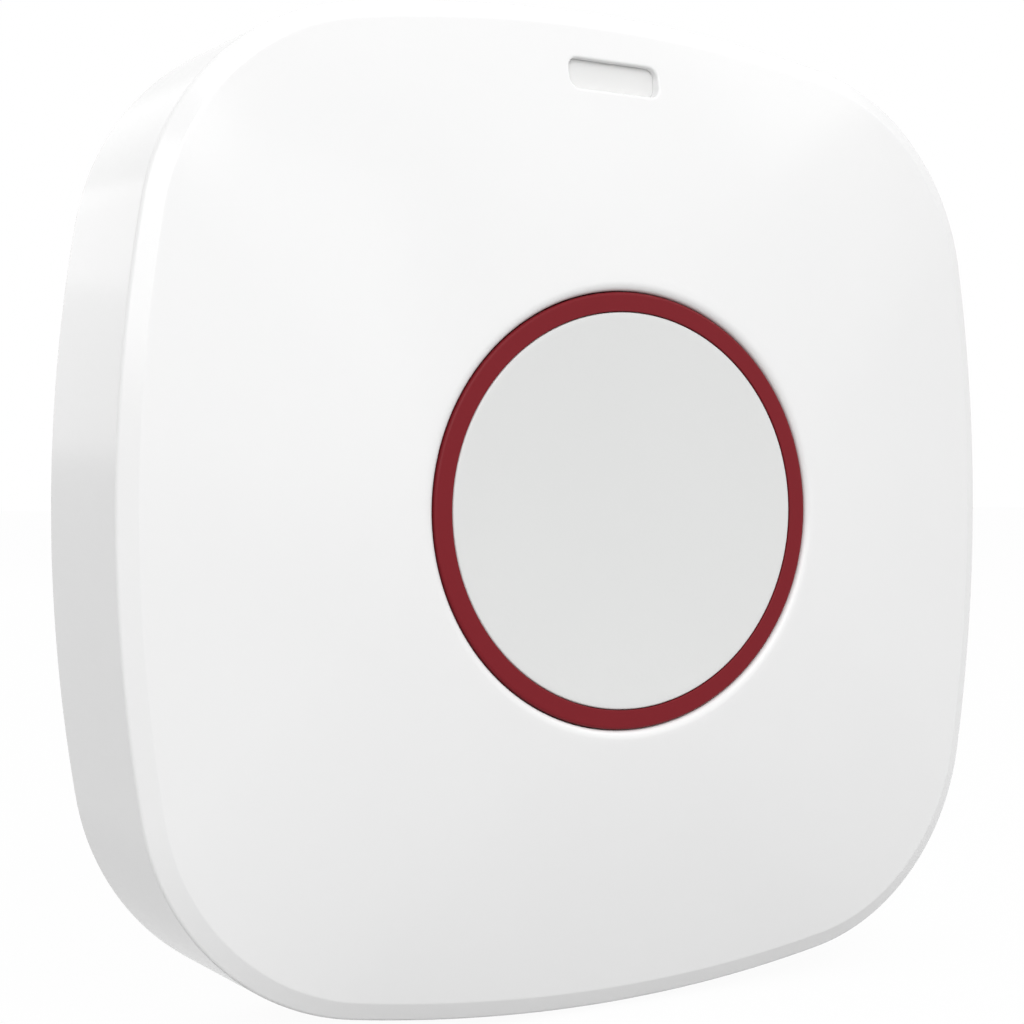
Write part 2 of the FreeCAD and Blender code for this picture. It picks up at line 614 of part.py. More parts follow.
def button_ring():
    """The red moulding that carries the button: its front edge is the ring that shows. A plate crosses it,
    with the post that presses the switch and three nibs inside the spring. Three lugs stop at the collar."""
    body = new_body("button_ring")
    profile = outline(
        new_sketch(body, "carrier_profile", "0", "XZ_Plane"),
        [
            ("0", PLUNGER_TOP),
            ("post_radius", PLUNGER_TOP),
            ("post_radius", PLATE_BACK),
            (RING_INNER, PLATE_BACK),
            (RING_INNER, LUG_BACK),
            (RING_OUTER, LUG_BACK),
            (RING_OUTER, RING_FRONT),
            (RING_INNER, RING_FRONT),
            (RING_INNER, PLATE_FRONT),
            ("0", PLATE_FRONT),
        ],
    )
    turned(body, "carrier", "Revolution", profile)
    for index in range(LUGS):
        lows = (f"{RING_OUTER} - ring_width / 2", "0 - lug_width / 2", LUG_BACK)
        lengths = (f"lug_reach - {RING_OUTER} + ring_width / 2", "lug_width", "lug_thickness")
        block(body, f"lug_{index}", "Additive", lows, lengths, 90 + index * 360 / LUGS)
    for index in range(LUGS):
        lows = (f"{NIB_END} - spring_nib", "0 - hook_width / 2", f"{PLATE_BACK} - spring_nib")
        lengths = ("spring_nib", "hook_width", "spring_nib + plate_thickness / 2")
        block(body, f"spring_nib_{index}", "Additive", lows, lengths, 90 + index * 360 / LUGS)
    for index in range(LUGS):
        lows = ("hook_place - hook_thickness / 2 - hook_gap", "0 - hook_width / 2 - hook_gap", PLATE_BACK)
        lengths = ("hook_thickness + hook_gap + plunger_gap", "hook_width + 2 * hook_gap", "plate_thickness")
        block(body, f"hook_slot_{index}", "Subtractive", lows, lengths, 30 + index * 360 / LUGS)


def button_cap():
    """The grey disc inside the ring, slightly hollow in front. Three hooks snap through the plate."""
    body = new_body("button_cap")
    rim = f"({RING_INNER} - cap_gap)"
    front = f"({RING_FRONT} - cap_step)"
    profile = outline(
        new_sketch(body, "cap_profile", "0", "XZ_Plane"),
        [
            ("0", PLATE_FRONT),
            (rim, PLATE_FRONT),
            (rim, front),
            ("cap_flat_radius", f"{front} - cap_dish"),
            ("0", f"{front} - cap_dish"),
        ],
    )
    turned(body, "disc", "Revolution", profile)
    for index in range(LUGS):
        turn = 30 + index * 360 / LUGS
        foot = f"{PLATE_BACK} - hook_tip"
        lows = ("hook_place - hook_thickness / 2", "0 - hook_width / 2", foot)
        lengths = ("hook_thickness", "hook_width", "plate_thickness + hook_tip")
        block(body, f"hook_{index}", "Additive", lows, lengths, turn)
        lows = ("hook_place + hook_thickness / 2", "0 - hook_width / 2", foot)
        lengths = ("hook_barb", "hook_width", "hook_tip - seat_gap")
        block(body, f"barb_{index}", "Additive", lows, lengths, turn)


def light_guide():
    """The clear piece at the bottom of the indicator slot: a column up from the status light, and a flange
    with two holes for the shell's pegs."""
    body = new_body("light_guide")
    low = f"{PEG_Y} - 2.5 * peg_radius"
    flange = ("2 * guide_half_length", f"{SLOT_Y} + slot_height / 2 - guide_gap - ({low})", "guide_flange")
    block(body, "flange", "Additive", ("0 - guide_half_length", low, GUIDE_BACK), flange)
    holes = [(f"{i} * peg_place", PEG_Y, "peg_radius + guide_gap") for i in (-1, 1)]
    holes = circles(new_sketch(body, "peg_hole_outlines", GUIDE_BACK), holes)
    pocket(body, "peg_holes", holes, "guide_flange")
    column = new_sketch(body, "column_outline", GUIDE_BACK)
    sides = ("0 - slot_length / 2 + guide_gap", "slot_length / 2 - guide_gap")
    heights = (f"{SLOT_Y} - slot_height / 2 + guide_gap", f"{SLOT_Y} + slot_height / 2 - guide_gap")
    rounded_rectangle(column, *sides, *heights, "slot_corner - guide_gap")
    pad(body, "column", column, f"{GUIDE_FRONT} - {GUIDE_BACK}")


def circuit_board():
    """The printed board, with holes for its screws, the shell's locating pins and the holder's pegs."""
    body = new_body("circuit_board")
    edge = housing_outline(body, "board_outline", BOARD_BACK, "front_wall + board_gap")
    pad(body, "board", edge, "board_thickness")
    holes = [spot + ("screw_radius + screw_clearance",) for spot in SCREWS]
    holes += [spot + ("pin_radius + guide_gap",) for spot in PINS]
    holes = circles(new_sketch(body, "hole_outlines", BOARD_BACK), holes)
    pocket(body, "board_holes", holes, "board_thickness")
    holder_pegs(body, "peg_slot", "Subtractive", "guide_gap")


def board_screws():
    """Two self-tapping screws as separate solids: pan head with a cross recess, and shank."""
    screws = []
    for index, (x, y) in enumerate(SCREWS):
        back = f"{BOARD_BACK} - screw_head_height"
        shank = plain_drum(f"screw_shank_{index}", (x, y, BOARD_BACK), "screw_radius", "screw_length")
        head = plain_drum(f"screw_head_{index}", (x, y, back), "screw_head_radius", "screw_head_height")
        bars = []
        for along, across in (("cross_length", "cross_width"), ("cross_width", "cross_length")):
            lows = (f"{x} - {along} / 2", f"{y} - {across} / 2", f"{back} - cross_depth")
            bars.append(plain_box(f"{along}_bar_{index}", lows, (along, across, "2 * cross_depth")))
        blank = joined(f"screw_blank_{index}", [head, shank])
        screws.append(less(f"screw_{index}", blank, joined(f"screw_cross_{index}", bars)))
    made = doc.addObject("Part::Compound", "board_screws")
    made.Links = screws
    piece(made, "board_screws")


def lock_screw():
    """The screw that goes up through the bottom wall into the panel's boss."""
    body = new_body("lock_screw")
    tip = ("0", f"{LOCK_SEAT} + lock_length", "lock_depth")
    drum(body, "shank", "Additive", tip, "lock_radius", "lock_length", True)
    seat = ("0", LOCK_SEAT, "lock_depth")
    drum(body, "head", "Additive", seat, "lock_head_radius", "lock_head_height", True)
    low = f"{LOCK_SEAT} - lock_head_height - cross_depth"
    for along, across in (("cross_length", "cross_width"), ("cross_width", "cross_length")):
        lows = (f"0 - {along} / 2", low, f"lock_depth - {across} / 2")
        block(body, f"{along}_bar", "Subtractive", lows, (along, "2 * cross_depth", across))


def return_spring():
    """A coil of wire between the board and the carrier's plate, round the switch."""
    body = new_body("return_spring")
    section = new_sketch(body, "wire_section", "0", "XZ_Plane")
    low = f"{BOARD_FRONT} + spring_wire + seat_gap"
    high = f"{PLATE_BACK} - spring_wire - seat_gap"
    points = []
    for step in range(WIRE_SIDES):
        x, y = (ratio(2 * math.pi * step / WIRE_SIDES) for ratio in (math.cos, math.sin))
        points.append((f"spring_radius + spring_wire * {x:.9f}", f"{low} + spring_wire * {y:.9f}"))
    outline(section, points)
    coil = body.newObject("PartDesign::AdditiveHelix", "coil")
    coil.Profile = section
    coil.ReferenceAxis = (section, ["V_Axis"])
    coil.Mode = "height-turns-angle"
    coil.Angle = 0
    bind(coil, Height=f"{high} - ({low})", Turns="spring_turns")


def tact_switch():
    """The switch under the middle of the button: a square body with a stepped bore, and the plunger that the
    cover holds in by its collar."""
    lows = ("0 - switch_side / 2", "0 - switch_side / 2", BOARD_FRONT)
    case = plain_box("switch_case", lows, ("switch_side", "switch_side", "switch_height"))
    spot = ("0", "0", f"{BOARD_FRONT} + switch_floor")
    depth = "switch_height - switch_floor - switch_cover"
    bore = plain_drum("switch_bore", spot, "plunger_collar + plunger_gap", depth)
    throat = plain_drum("switch_throat", spot, "plunger_radius + plunger_gap", "switch_height")
    piece(less("switch_body", case, joined("switch_hollow", [bore, throat])), "switch_body")
    back = f"({SWITCH_TOP} - switch_cover - plunger_gap - collar_height)"
    stem = plain_drum("plunger_stem", ("0", "0", back), "plunger_radius", f"{PLUNGER_TOP} - {back}")
    collar = plain_drum("collar_drum", ("0", "0", back), "plunger_collar", "collar_height")
    piece(joined("switch_plunger", [stem, collar]), "switch_plunger")


def coin_cell():
    """A coin cell, its wide positive can to the rear and its smaller negative cap to the board."""
    body = new_body("coin_cell")
    step = f"{CELL_FRONT} - cell_cap_step"
    profile = outline(
        new_sketch(body, "cell_profile", "0", "XZ_Plane"),
        [
            ("0", CELL_BACK),
            ("cell_radius", CELL_BACK),
            ("cell_radius", step),
            ("cell_cap_radius", step),
            ("cell_cap_radius", CELL_FRONT),
            ("0", CELL_FRONT),
        ],
    )
    turned(body, "cell", "Revolution", profile)


def battery_holder():
    """The moulded tray behind the board: a floor with a window for the leaf contact, a wall with a gap for a
    fingertip and one for the rim contact, and two lips that the cell snaps under."""
    body = new_body("battery_holder")
    inner = "(cell_radius + holder_gap)"
    lip_back = f"({CELL_BACK} - seat_gap)"
    profile = outline(
        new_sketch(body, "holder_profile", "0", "XZ_Plane"),
        [
            ("0", CELL_FRONT),
            (inner, CELL_FRONT),
            (inner, lip_back),
            ("cell_radius - holder_grip", lip_back),
            ("cell_radius - holder_grip", f"{lip_back} - holder_grip"),
            (f"{inner} + holder_wall", f"{lip_back} - holder_grip"),
            (f"{inner} + holder_wall", BOARD_BACK),
            ("0", BOARD_BACK),
        ],
    )
    turned(body, "tray", "Revolution", profile)
    reach = f"({inner} + holder_wall)"
    low = f"({lip_back} - holder_grip)"
    for index, left in enumerate(("grip_half_length", f"0 - grip_half_length - {reach}")):
        trim = (reach, f"2 * {reach}", "holder_grip")
        block(body, f"lip_end_{index}", "Subtractive", (left, f"0 - {reach}", low), trim)
    across = f"0 - {CONTACT_WIDTH} / 2"
    gap = (reach, CONTACT_WIDTH, f"{BOARD_BACK} - {low}")
    block(body, "contact_gap", "Subtractive", ("cell_radius", across, low), gap)
    gap = (reach, "finger_gap", f"{CELL_FRONT} - {low}")
    lows = (f"0 - finger_gap / 2 - {reach}", "0 - finger_gap / 2", low)
    block(body, "finger_notch", "Subtractive", lows, gap)
    window = (f"2 * ({LEAF_END})", CONTACT_WIDTH, "holder_floor")
    block(body, "leaf_window", "Subtractive", (f"0 - ({LEAF_END})", across, CELL_FRONT), window)
    holder_pegs(body, "peg", "Additive", "0")


def holder_pegs(body, name, kind, gap):
    """The two square pegs of the holder, or the holes of the board that they stand in."""
    side = f"holder_peg + 2 * {gap}"
    for index, j in enumerate((-1, 1)):
        lows = (f"0 - ({side}) / 2", f"{j} * {HOLDER_MIDDLE} - ({side}) / 2", BOARD_BACK)
        block(body, f"{name}_{index}", kind, lows, (side, side, "board_thickness"))


def contacts():
    """Two sheet metal springs: one stands at the cell's rim, the other is a leaf bowed under its middle."""
    near = "(cell_radius + contact_gap)"
    rim = new_body("positive_contact")
    points = [
        (near, f"{CELL_BACK} + cell_height / 4"),
        (f"{near} + sheet", f"{CELL_BACK} + cell_height / 4"),
        (f"{near} + sheet", f"{BOARD_BACK} - sheet"),
        (f"{near} + contact_foot", f"{BOARD_BACK} - sheet"),
        (f"{near} + contact_foot", BOARD_BACK),
        (near, BOARD_BACK),
    ]
    strip(rim, points)
    leaf = new_body("negative_contact")
    crest, foot = f"({CELL_FRONT} + seat_gap)", f"({BOARD_BACK} - sheet)"
    near, bend, far = "leaf_half_length / 3", "leaf_half_length * 2 / 3", "leaf_half_length"
    right = [(near, crest), (bend, foot), (far, foot)]
    right += [(far, BOARD_BACK), (bend, BOARD_BACK), (near, f"{crest} + sheet")]
    points = right + [(f"0 - {x}", z) for x, z in reversed(right)]
    strip(leaf, points)


def strip(body, points):
    """A strip of sheet metal as wide as a contact, bent as the points of its edge say."""
    profile = outline(new_sketch(body, "strip_profile", "0", "XZ_Plane"), points)
    made = pad(body, "strip", profile, "contact_width")
    made.Midplane = True


def radio_parts():
    """The screening can on the front of the board, the radio chip inside it, and the stamped strip antenna
    on its ground leg and its feed leg."""
    x, y = f"0 - {SHIELD_X} - shield_length / 2", "shield_y - shield_width / 2"
    outside = ("shield_length", "shield_width", "shield_height")
    can = plain_box("shield_outside", (x, y, BOARD_FRONT), outside)
    lows = (f"{x} + sheet", f"{y} + sheet", BOARD_FRONT)
    lengths = ("shield_length - 2 * sheet", "shield_width - 2 * sheet", "shield_height - sheet")
    piece(less("radio_shield", can, plain_box("shield_inside", lows, lengths)), "radio_shield")
    body = new_body("radio_chip")
    lows = (f"0 - {SHIELD_X} - radio_side / 2", "shield_y - radio_side / 2", BOARD_FRONT)
    block(body, "radio_case", "Additive", lows, ("radio_side", "radio_side", "chip_height"))
    body = new_body("antenna")
    left, start = "half_width - antenna_inset - antenna_width / 2", "0 - antenna_length / 2"
    lows = (left, start, f"{BOARD_FRONT} + antenna_height - sheet")
    block(body, "strip", "Additive", lows, ("antenna_width", "antenna_length", "sheet"))
    for name, offset in (("ground_leg", "0"), ("feed_leg", "antenna_feed")):
        lows = (left, f"{start} + {offset}", BOARD_FRONT)
        block(body, name, "Additive", lows, ("antenna_width", "sheet", "antenna_height"))


def board_parts():
    """The other parts soldered to the front of the board."""
    body = new_body("controller_chip")
    lows = ("chip_inset - half_width - chip_side / 2", "0 - chip_y - chip_side / 2", BOARD_FRONT)
    block(body, "chip_case", "Additive", lows, ("chip_side", "chip_side", "chip_height"))
    body = new_body("crystal")
    lows = ("crystal_x - crystal_length / 2", "crystal_inset - half_width - crystal_width / 2", BOARD_FRONT)
    block(body, "crystal_can", "Additive", lows, ("crystal_length", "crystal_width", "chip_height"))
    body = new_body("status_led")
    lows = ("0 - led_length / 2", f"{SLOT_Y} - led_width / 2", BOARD_FRONT)
    block(body, "led_base", "Additive", lows, ("led_length", "led_width", "led_height"))
    lens = ("0", SLOT_Y, BOARD_FRONT)
    drum(body, "led_dome", "Additive", lens, "led_lens", "led_height + led_lens")
    capacitors = []
    for index in range(CAPACITORS):
        left = f"({index} - {CAPACITORS - 1} / 2) * capacitor_pitch + capacitor_inset - half_width"
        lows = (left, f"capacitor_gap - {BOSS} - capacitor_length / 2", BOARD_FRONT)
        lengths = ("capacitor_width", "capacitor_length", "capacitor_width")
        capacitors.append(plain_box(f"capacitor_{index}", lows, lengths))
    made = doc.addObject("Part::Compound", "capacitors")
    made.Links = capacitors
    piece(made, "capacitors")


def small_switch(label, spot, lengths, plunger_radius, rise):
    """A small switch on the back of the board: a case, and a plunger that stands out of its blind bore."""
    x, y = spot
    length, width, height = lengths
    back = f"{BOARD_BACK} - {height}"
    body = new_body(f"{label}_switch")
    lows = (f"{x} - {length} / 2", f"{y} - {width} / 2", back)
    block(body, f"{label}_case", "Additive", lows, lengths)
    bore = f"{plunger_radius} + plunger_gap"
    drum(body, f"{label}_bore", "Subtractive", (x, y, back), bore, f"{height} / 2")
    body = new_body(f"{label}_plunger")
    stem = f"{rise} + {height} / 2 - seat_gap"
    drum(body, f"{label}_stem", "Additive", (x, y, f"{back} - {rise}"), plunger_radius, stem)


front_shell()
rear_panel()
button_ring()
button_cap()
light_guide()
circuit_board()
board_screws()
lock_screw()
return_spring()
tact_switch()
coin_cell()
battery_holder()
contacts()
radio_parts()
board_parts()
tamper_case = ("tamper_side", "tamper_side", "tamper_height")
small_switch("tamper", TAMPER, tamper_case, "tamper_plunger", "tamper_rise")
pairing_case = ("pairing_length", "pairing_width", "pairing_height")
small_switch("pairing", PAIRING, pairing_case, "pairing_plunger", "pairing_rise")

doc.recompute()
for made in doc.Objects:
    if "Invalid" in made.State or "Error" in made.State:
        raise RuntimeError(f"{made.Name}: {made.State}")
for made in pieces:
    made.Placement = STAND_UP
doc.recompute()
for made in pieces:
    if made.Shape.isNull() or not made.Shape.isValid():
        raise RuntimeError(f"{made.Label} has no valid shape")
    made.Shape.exportStep(f"parts/{made.Label}.step")
    print(made.Label, len(made.Shape.Solids), round(made.Shape.Volume, 2), made.Shape.BoundBox)
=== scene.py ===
import math

import bmesh
import bpy
import numpy as np
from mathutils import Matrix, Vector


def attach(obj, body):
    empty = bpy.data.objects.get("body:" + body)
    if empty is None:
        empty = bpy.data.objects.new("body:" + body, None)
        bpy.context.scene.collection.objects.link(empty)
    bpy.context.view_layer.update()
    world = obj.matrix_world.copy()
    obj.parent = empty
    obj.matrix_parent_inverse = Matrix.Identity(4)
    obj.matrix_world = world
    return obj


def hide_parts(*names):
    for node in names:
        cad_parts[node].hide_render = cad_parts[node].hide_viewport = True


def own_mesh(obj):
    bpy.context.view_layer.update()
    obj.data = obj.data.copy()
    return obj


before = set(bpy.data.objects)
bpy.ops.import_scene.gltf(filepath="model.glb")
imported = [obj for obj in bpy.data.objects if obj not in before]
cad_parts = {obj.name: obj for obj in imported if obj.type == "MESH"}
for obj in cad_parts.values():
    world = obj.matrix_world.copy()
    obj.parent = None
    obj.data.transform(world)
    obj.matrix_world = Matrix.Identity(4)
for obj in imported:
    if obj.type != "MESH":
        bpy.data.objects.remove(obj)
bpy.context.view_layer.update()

# Front shell. One moulding in glossy white ABS: a deep drafted wall, a narrow bevel and a domed face with
# the round opening and the indicator slot. Inside are the collar that guides the button, four bosses with
# gussets for the board, two recesses for the panel's catches, and the lock screw's hole.

# Outline, wall and bevel. All sizes are in millimetres.
HALF_WIDTH = 31.5
SIDE_RADIUS = 103.2
CORNER_RADIUS = 15.5
SIDE_SHARE = 0.3
WALL_DRAFT = 0.297
WALL_DEPTH = 12.0
BEVEL_INSET = 1.13
BEVEL_DEPTH = 0.6
INNER_INSET = 2.2
SEAT_INSET = 0.8
SEAT_DEPTH = 1.6
SEAT_EDGE = 0.1
REAR_EDGE = 0.25
WALL_EDGE = 0.3
FACE_EDGE = 0.5

# Face, opening, collar and the underside of the face.
DOME_HEIGHT = 3.486
OPENING_RADIUS = 13.68
OPENING_EDGE = 14.3
CROWN_HALF = 13.4
CROWN_SIDE = 1.08 * CROWN_HALF
CROWN_CORNER = 0.95 * CROWN_HALF
LIP_WIDTH = 0.6
LIP_DEPTH = 0.5
CEILING = 1.6
COLLAR_RADIUS = 15.4
COLLAR_DEPTH = 12.6
COLLAR_ROOT = 0.6
COLLAR_EDGE = 0.15
BORE_FLAT = 1.2
FACE_DEPTH = WALL_DEPTH + BEVEL_DEPTH
FACE_HALF = HALF_WIDTH - BEVEL_INSET
INNER_FACE = FACE_DEPTH - CEILING
OPENING_TOP = FACE_DEPTH + DOME_HEIGHT * (1 - (OPENING_EDGE / FACE_HALF) ** 2)

# Indicator slot, and the two pegs that hold the light guide behind it.
SLOT_Z = 27.3
SLOT_LENGTH = 6.56
SLOT_HEIGHT = 1.95
SLOT_CORNER = 0.65
SLOT_EASE = 0.17
PEG_X = 5.2
PEG_RADIUS = 0.6
PEG_DEPTH = 10.1
PEG_FRONT = INNER_FACE + 1

# Lock screw's recess and hole, and the catches' recesses.
LOCK_DEPTH = 4.2
LOCK_RECESS_RADIUS = 2.35
LOCK_RECESS_DEPTH = 1.2
LOCK_HOLE = 1.25
LOCK_EASE = 0.1
CATCH_OUTER = 14.3
CATCH_INNER = 7.7
CATCH_FRONT = 5.0
CATCH_REAR = 3.2
CATCH_FLOOR = 29.8

# Bosses for the board: two with a pilot hole, two with a locating pin, each with a gusset to its corner.
BOSS_PLACE = 20.5
BOSS_RADIUS = 2.4
BOSS_DEPTH = 8.7
BOSS_ROOT = 12.3
PILOT_RADIUS = 0.82
PILOT_DEPTH = 3.4
PIN_RADIUS = 0.9
PIN_LENGTH = 1.0
GUSSET_HALF = 0.5
GUSSET_START = BOSS_PLACE * math.sqrt(2) + BOSS_RADIUS / 2
GUSSET_END = 34.6
GUSSET_BACK = BOSS_DEPTH + 1
GUSSET_FRONT = INNER_FACE + 0.4

# The skin's grid. A quarter turn has 144 columns, and column QUARTER is the middle of the top side. Windows
# are counted in columns from the middle of their side, and in rows. Shares run over the face from the bevel
# to the button, and reaches over its underside from the collar to the wall. Windows in the wall reach as far
# to either side of the lock screw as OUTER_REACH and INNER_REACH say.
QUARTER = 144
TURN = np.arange(4 * QUARTER) / QUARTER
EDGE_SHARE = 0.012
SLOT_SHARES = (0.085, 0.28)
SLOT_REACHES = (0.74, 0.97)
ROUNDED_PART = 0.45
LEAD_ROWS = 4
SLOT_ROWS = 18
FACE_ROWS = 27
LIP_ROWS = 8
WALL_ROWS = 12
OUTER_REACH = 3
INNER_REACH = 2
SLOT_COLUMNS = 11
LOCK_COLUMNS = 8
CATCH_COLUMNS = (17, 39)

# Meshes. Points closer than WELD, in metres, are joined. Edges that turn by more than SHARP_ANGLE stay sharp.
WELD = 2e-7
SHARP_ANGLE = 38
BESIDE_ARC = 0.2


def stacked(x, depth, z):
    """Rows of points as one array, with each part spread over the whole row."""
    return np.stack(np.broadcast_arrays(x, depth, z), axis=-1)


def housing_edge(turn, half, side, corner):
    """The housing's outline. Turn counts quarter turns from the right. Near the middle of a side the point
    lies on the side's circle, whose centre is on the axis at half - side. Past that it lies on the corner's
    circle, whose centre (c, c) solves 2 c^2 - 2 (half - side) c + (half - side)^2 = (side - corner)^2."""
    back = half - side
    centre = (back + np.sqrt(2 * (side - corner) ** 2 - back**2)) / 2
    join = np.arctan2(centre, centre - back)
    quarter = np.round(turn)
    away = np.abs(turn - quarter)
    past = (away - SIDE_SHARE) / (0.5 - SIDE_SHARE)
    angle = np.where(past < 0, away / SIDE_SHARE * join, join + past * (math.pi / 4 - join))
    along = np.where(past < 0, back + side * np.cos(angle), centre + corner * np.cos(angle))
    across = np.where(past < 0, side * np.sin(angle), centre + corner * np.sin(angle))
    across = across * np.sign(turn - quarter)
    spin = quarter * math.pi / 2
    return along * np.cos(spin) - across * np.sin(spin), along * np.sin(spin) + across * np.cos(spin)


def draft(depth):
    """How far out the side wall stands at a depth: its draft falls evenly to none at the bevel."""
    return WALL_DRAFT * (1 - depth / WALL_DEPTH)


def on_side(x, depth, offset, way=1):
    """Points of the top wall, or of the bottom wall where way is -1, on the side's circle plus offset."""
    side = SIDE_RADIUS + offset
    return stacked(x, depth, way * (HALF_WIDTH - SIDE_RADIUS + np.sqrt(side**2 - x**2)))


def dome_sizes(share):
    """Half width, side radius and corner radius of a contour of the face. Each runs in a straight line from
    its size at the bevel, share 0, to its size at the button, share 1."""
    half = FACE_HALF + (CROWN_HALF - FACE_HALF) * share
    side = SIDE_RADIUS - BEVEL_INSET + (CROWN_SIDE - SIDE_RADIUS + BEVEL_INSET) * share
    corner = CORNER_RADIUS - BEVEL_INSET + (CROWN_CORNER - CORNER_RADIUS + BEVEL_INSET) * share
    return half, side, corner


def on_face(x, z):
    """Points of the domed face. The contour through a point is found by halving the range of shares forty
    times, and the face rises by DOME_HEIGHT times 1 - (half width / FACE_HALF)^2."""
    far, near = np.maximum(abs(x), abs(z)), np.minimum(abs(x), abs(z))
    low, high = np.zeros_like(far), np.ones_like(far)
    for _ in range(40):
        share = (low + high) / 2
        half, side, corner = dome_sizes(share)
        back = half - side
        centre = (back + np.sqrt(2 * (side - corner) ** 2 - back**2)) / 2
        beside = np.arctan2(near, far - back) < np.arctan2(centre, centre - back)
        to_side = np.hypot(far - back, near) - side
        to_corner = np.hypot(far - centre, near - centre) - corner
        outside = np.where(beside, to_side, to_corner) > 0
        low, high = np.where(outside, low, share), np.where(outside, share, high)
    return stacked(x, FACE_DEPTH + DOME_HEIGHT * (1 - (half / FACE_HALF) ** 2), z)


def on_ceiling(x, z):
    """Points of the underside of the face: flat in the corners, a shallow cone inside the inner walls."""
    inner = HALF_WIDTH - INNER_INSET
    reach = np.clip((inner - np.hypot(x, z)) / (inner - OPENING_EDGE), 0, 1)
    return stacked(x, INNER_FACE + reach * (OPENING_TOP - CEILING - INNER_FACE), z)


def softened(corners, steps=5):
    """A profile through the corners, each given as offset, depth and radius. A corner becomes an arc that
    touches both its edges at reach = radius * tan(half the turn) from the corner. A point BESIDE_ARC of the
    reach before the arc and one after it keep the flats there flat. The ends stay as they are."""
    corners = np.array(corners, float)
    points = [corners[0, :2]]
    for before, corner, after in zip(corners[:-2], corners[1:-1], corners[2:]):
        into, out = corner[:2] - before[:2], after[:2] - corner[:2]
        into, out = into / np.hypot(*into), out / np.hypot(*out)
        turn = math.acos(np.clip(into @ out, -1, 1))
        reach = corner[2] * math.tan(turn / 2)
        if reach == 0:
            points.append(corner[:2])
            continue
        middle = corner[:2] + (out - into) / np.hypot(*(out - into)) * corner[2] / math.cos(turn / 2)
        share = np.linspace(0, 1, steps + 1)[:, None]
        start, end = corner[:2] - into * reach - middle, corner[:2] + out * reach - middle
        arc = (np.sin((1 - share) * turn) * start + np.sin(share * turn) * end) / math.sin(turn)
        before_arc = middle + start - into * reach * BESIDE_ARC
        after_arc = middle + end + out * reach * BESIDE_ARC
        points += [before_arc, *(middle + arc), after_arc]
    points.append(corners[-1, :2])
    return np.array(points)


CROWN = np.array(housing_edge(TURN, *dome_sizes(1.0)))
CROWN_X, CROWN_Z = CROWN / np.hypot(*CROWN)


def wall_rows(profile):
    """Rows that follow the housing's outline, at each offset and depth of a profile."""
    offset, depth = np.array(profile, float).T[:, :, None]
    x, z = housing_edge(TURN, HALF_WIDTH + offset, SIDE_RADIUS + offset, CORNER_RADIUS + offset)
    return stacked(x, depth, z)


def wall_and_bevel_rows():
    """Rows from the panel's seat over the rear edge, up the drafted wall and over the bevel, and the first
    row of the lock screw's window."""
    lock = np.linspace(LOCK_DEPTH - OUTER_REACH, LOCK_DEPTH + OUTER_REACH, WALL_ROWS + 1)
    rear = [(-SEAT_INSET, SEAT_DEPTH, 0), (-SEAT_INSET, 0, SEAT_EDGE), (WALL_DRAFT, 0, REAR_EDGE)]
    rear = softened([*rear, (draft(lock[0]), lock[0], 0)], 4)
    edge_half = dome_sizes(EDGE_SHARE)[0]
    edge_depth = FACE_DEPTH + DOME_HEIGHT * (1 - (edge_half / FACE_HALF) ** 2)
    front = [(draft(lock[-1]), lock[-1], 0), (0, WALL_DEPTH, WALL_EDGE)]
    front += [(-BEVEL_INSET, FACE_DEPTH, FACE_EDGE), (edge_half - HALF_WIDTH, edge_depth, 0)]
    front = softened(front)
    profile = np.concatenate([rear[:-1], np.stack([draft(lock), lock], 1), front[1:-1]])
    return wall_rows(profile), len(rear) - 1


def face_rows():
    """Rows of the face. They follow its contours and become circles towards the round opening: r grows evenly
    from 0 to 1 over the last ROUNDED_PART of the way, and the circle's share is r^2 (3 - 2 r)."""
    start, end = SLOT_SHARES
    last = (FACE_HALF - OPENING_RADIUS - LIP_WIDTH) / (FACE_HALF - CROWN_HALF)
    share = [np.linspace(EDGE_SHARE, start, LEAD_ROWS + 1)[:-1], np.linspace(start, end, SLOT_ROWS + 1)]
    share = np.concatenate([*share, np.linspace(end, last, FACE_ROWS + 1)[1:]])[:, None]
    x, z = housing_edge(TURN, *dome_sizes(share))
    radius = dome_sizes(share)[0]
    rounding = np.clip((share / share[-1] - (1 - ROUNDED_PART)) / ROUNDED_PART, 0, 1)
    rounding = rounding**2 * (3 - 2 * rounding)
    x = x * (1 - rounding) + radius * CROWN_X * rounding
    z = z * (1 - rounding) + radius * CROWN_Z * rounding
    return on_face(x, z)


def opening_rows():
    """Rows down through the opening. Its rounded edge is a quarter of an ellipse, LIP_WIDTH by LIP_DEPTH. The
    bore goes on from there to the collar's rear, and the rows end outside at the collar's root."""
    fall = np.linspace(0, math.pi / 2, LIP_ROWS + 1)[1:, None]
    radius = OPENING_RADIUS + LIP_WIDTH * (1 - np.sin(fall))
    lip = on_face(radius * CROWN_X, radius * CROWN_Z)
    lip[..., 1] -= LIP_DEPTH * (1 - np.cos(fall))
    collar = [(OPENING_RADIUS, COLLAR_DEPTH + BORE_FLAT, 0), (OPENING_RADIUS, COLLAR_DEPTH, COLLAR_EDGE)]
    collar += [(COLLAR_RADIUS, COLLAR_DEPTH, COLLAR_EDGE), (COLLAR_RADIUS, COLLAR_DEPTH + COLLAR_ROOT, 0)]
    radius, depth = softened(collar, 4).T[:, :, None]
    return np.concatenate([lip, stacked(radius * CROWN_X, depth, radius * CROWN_Z)])


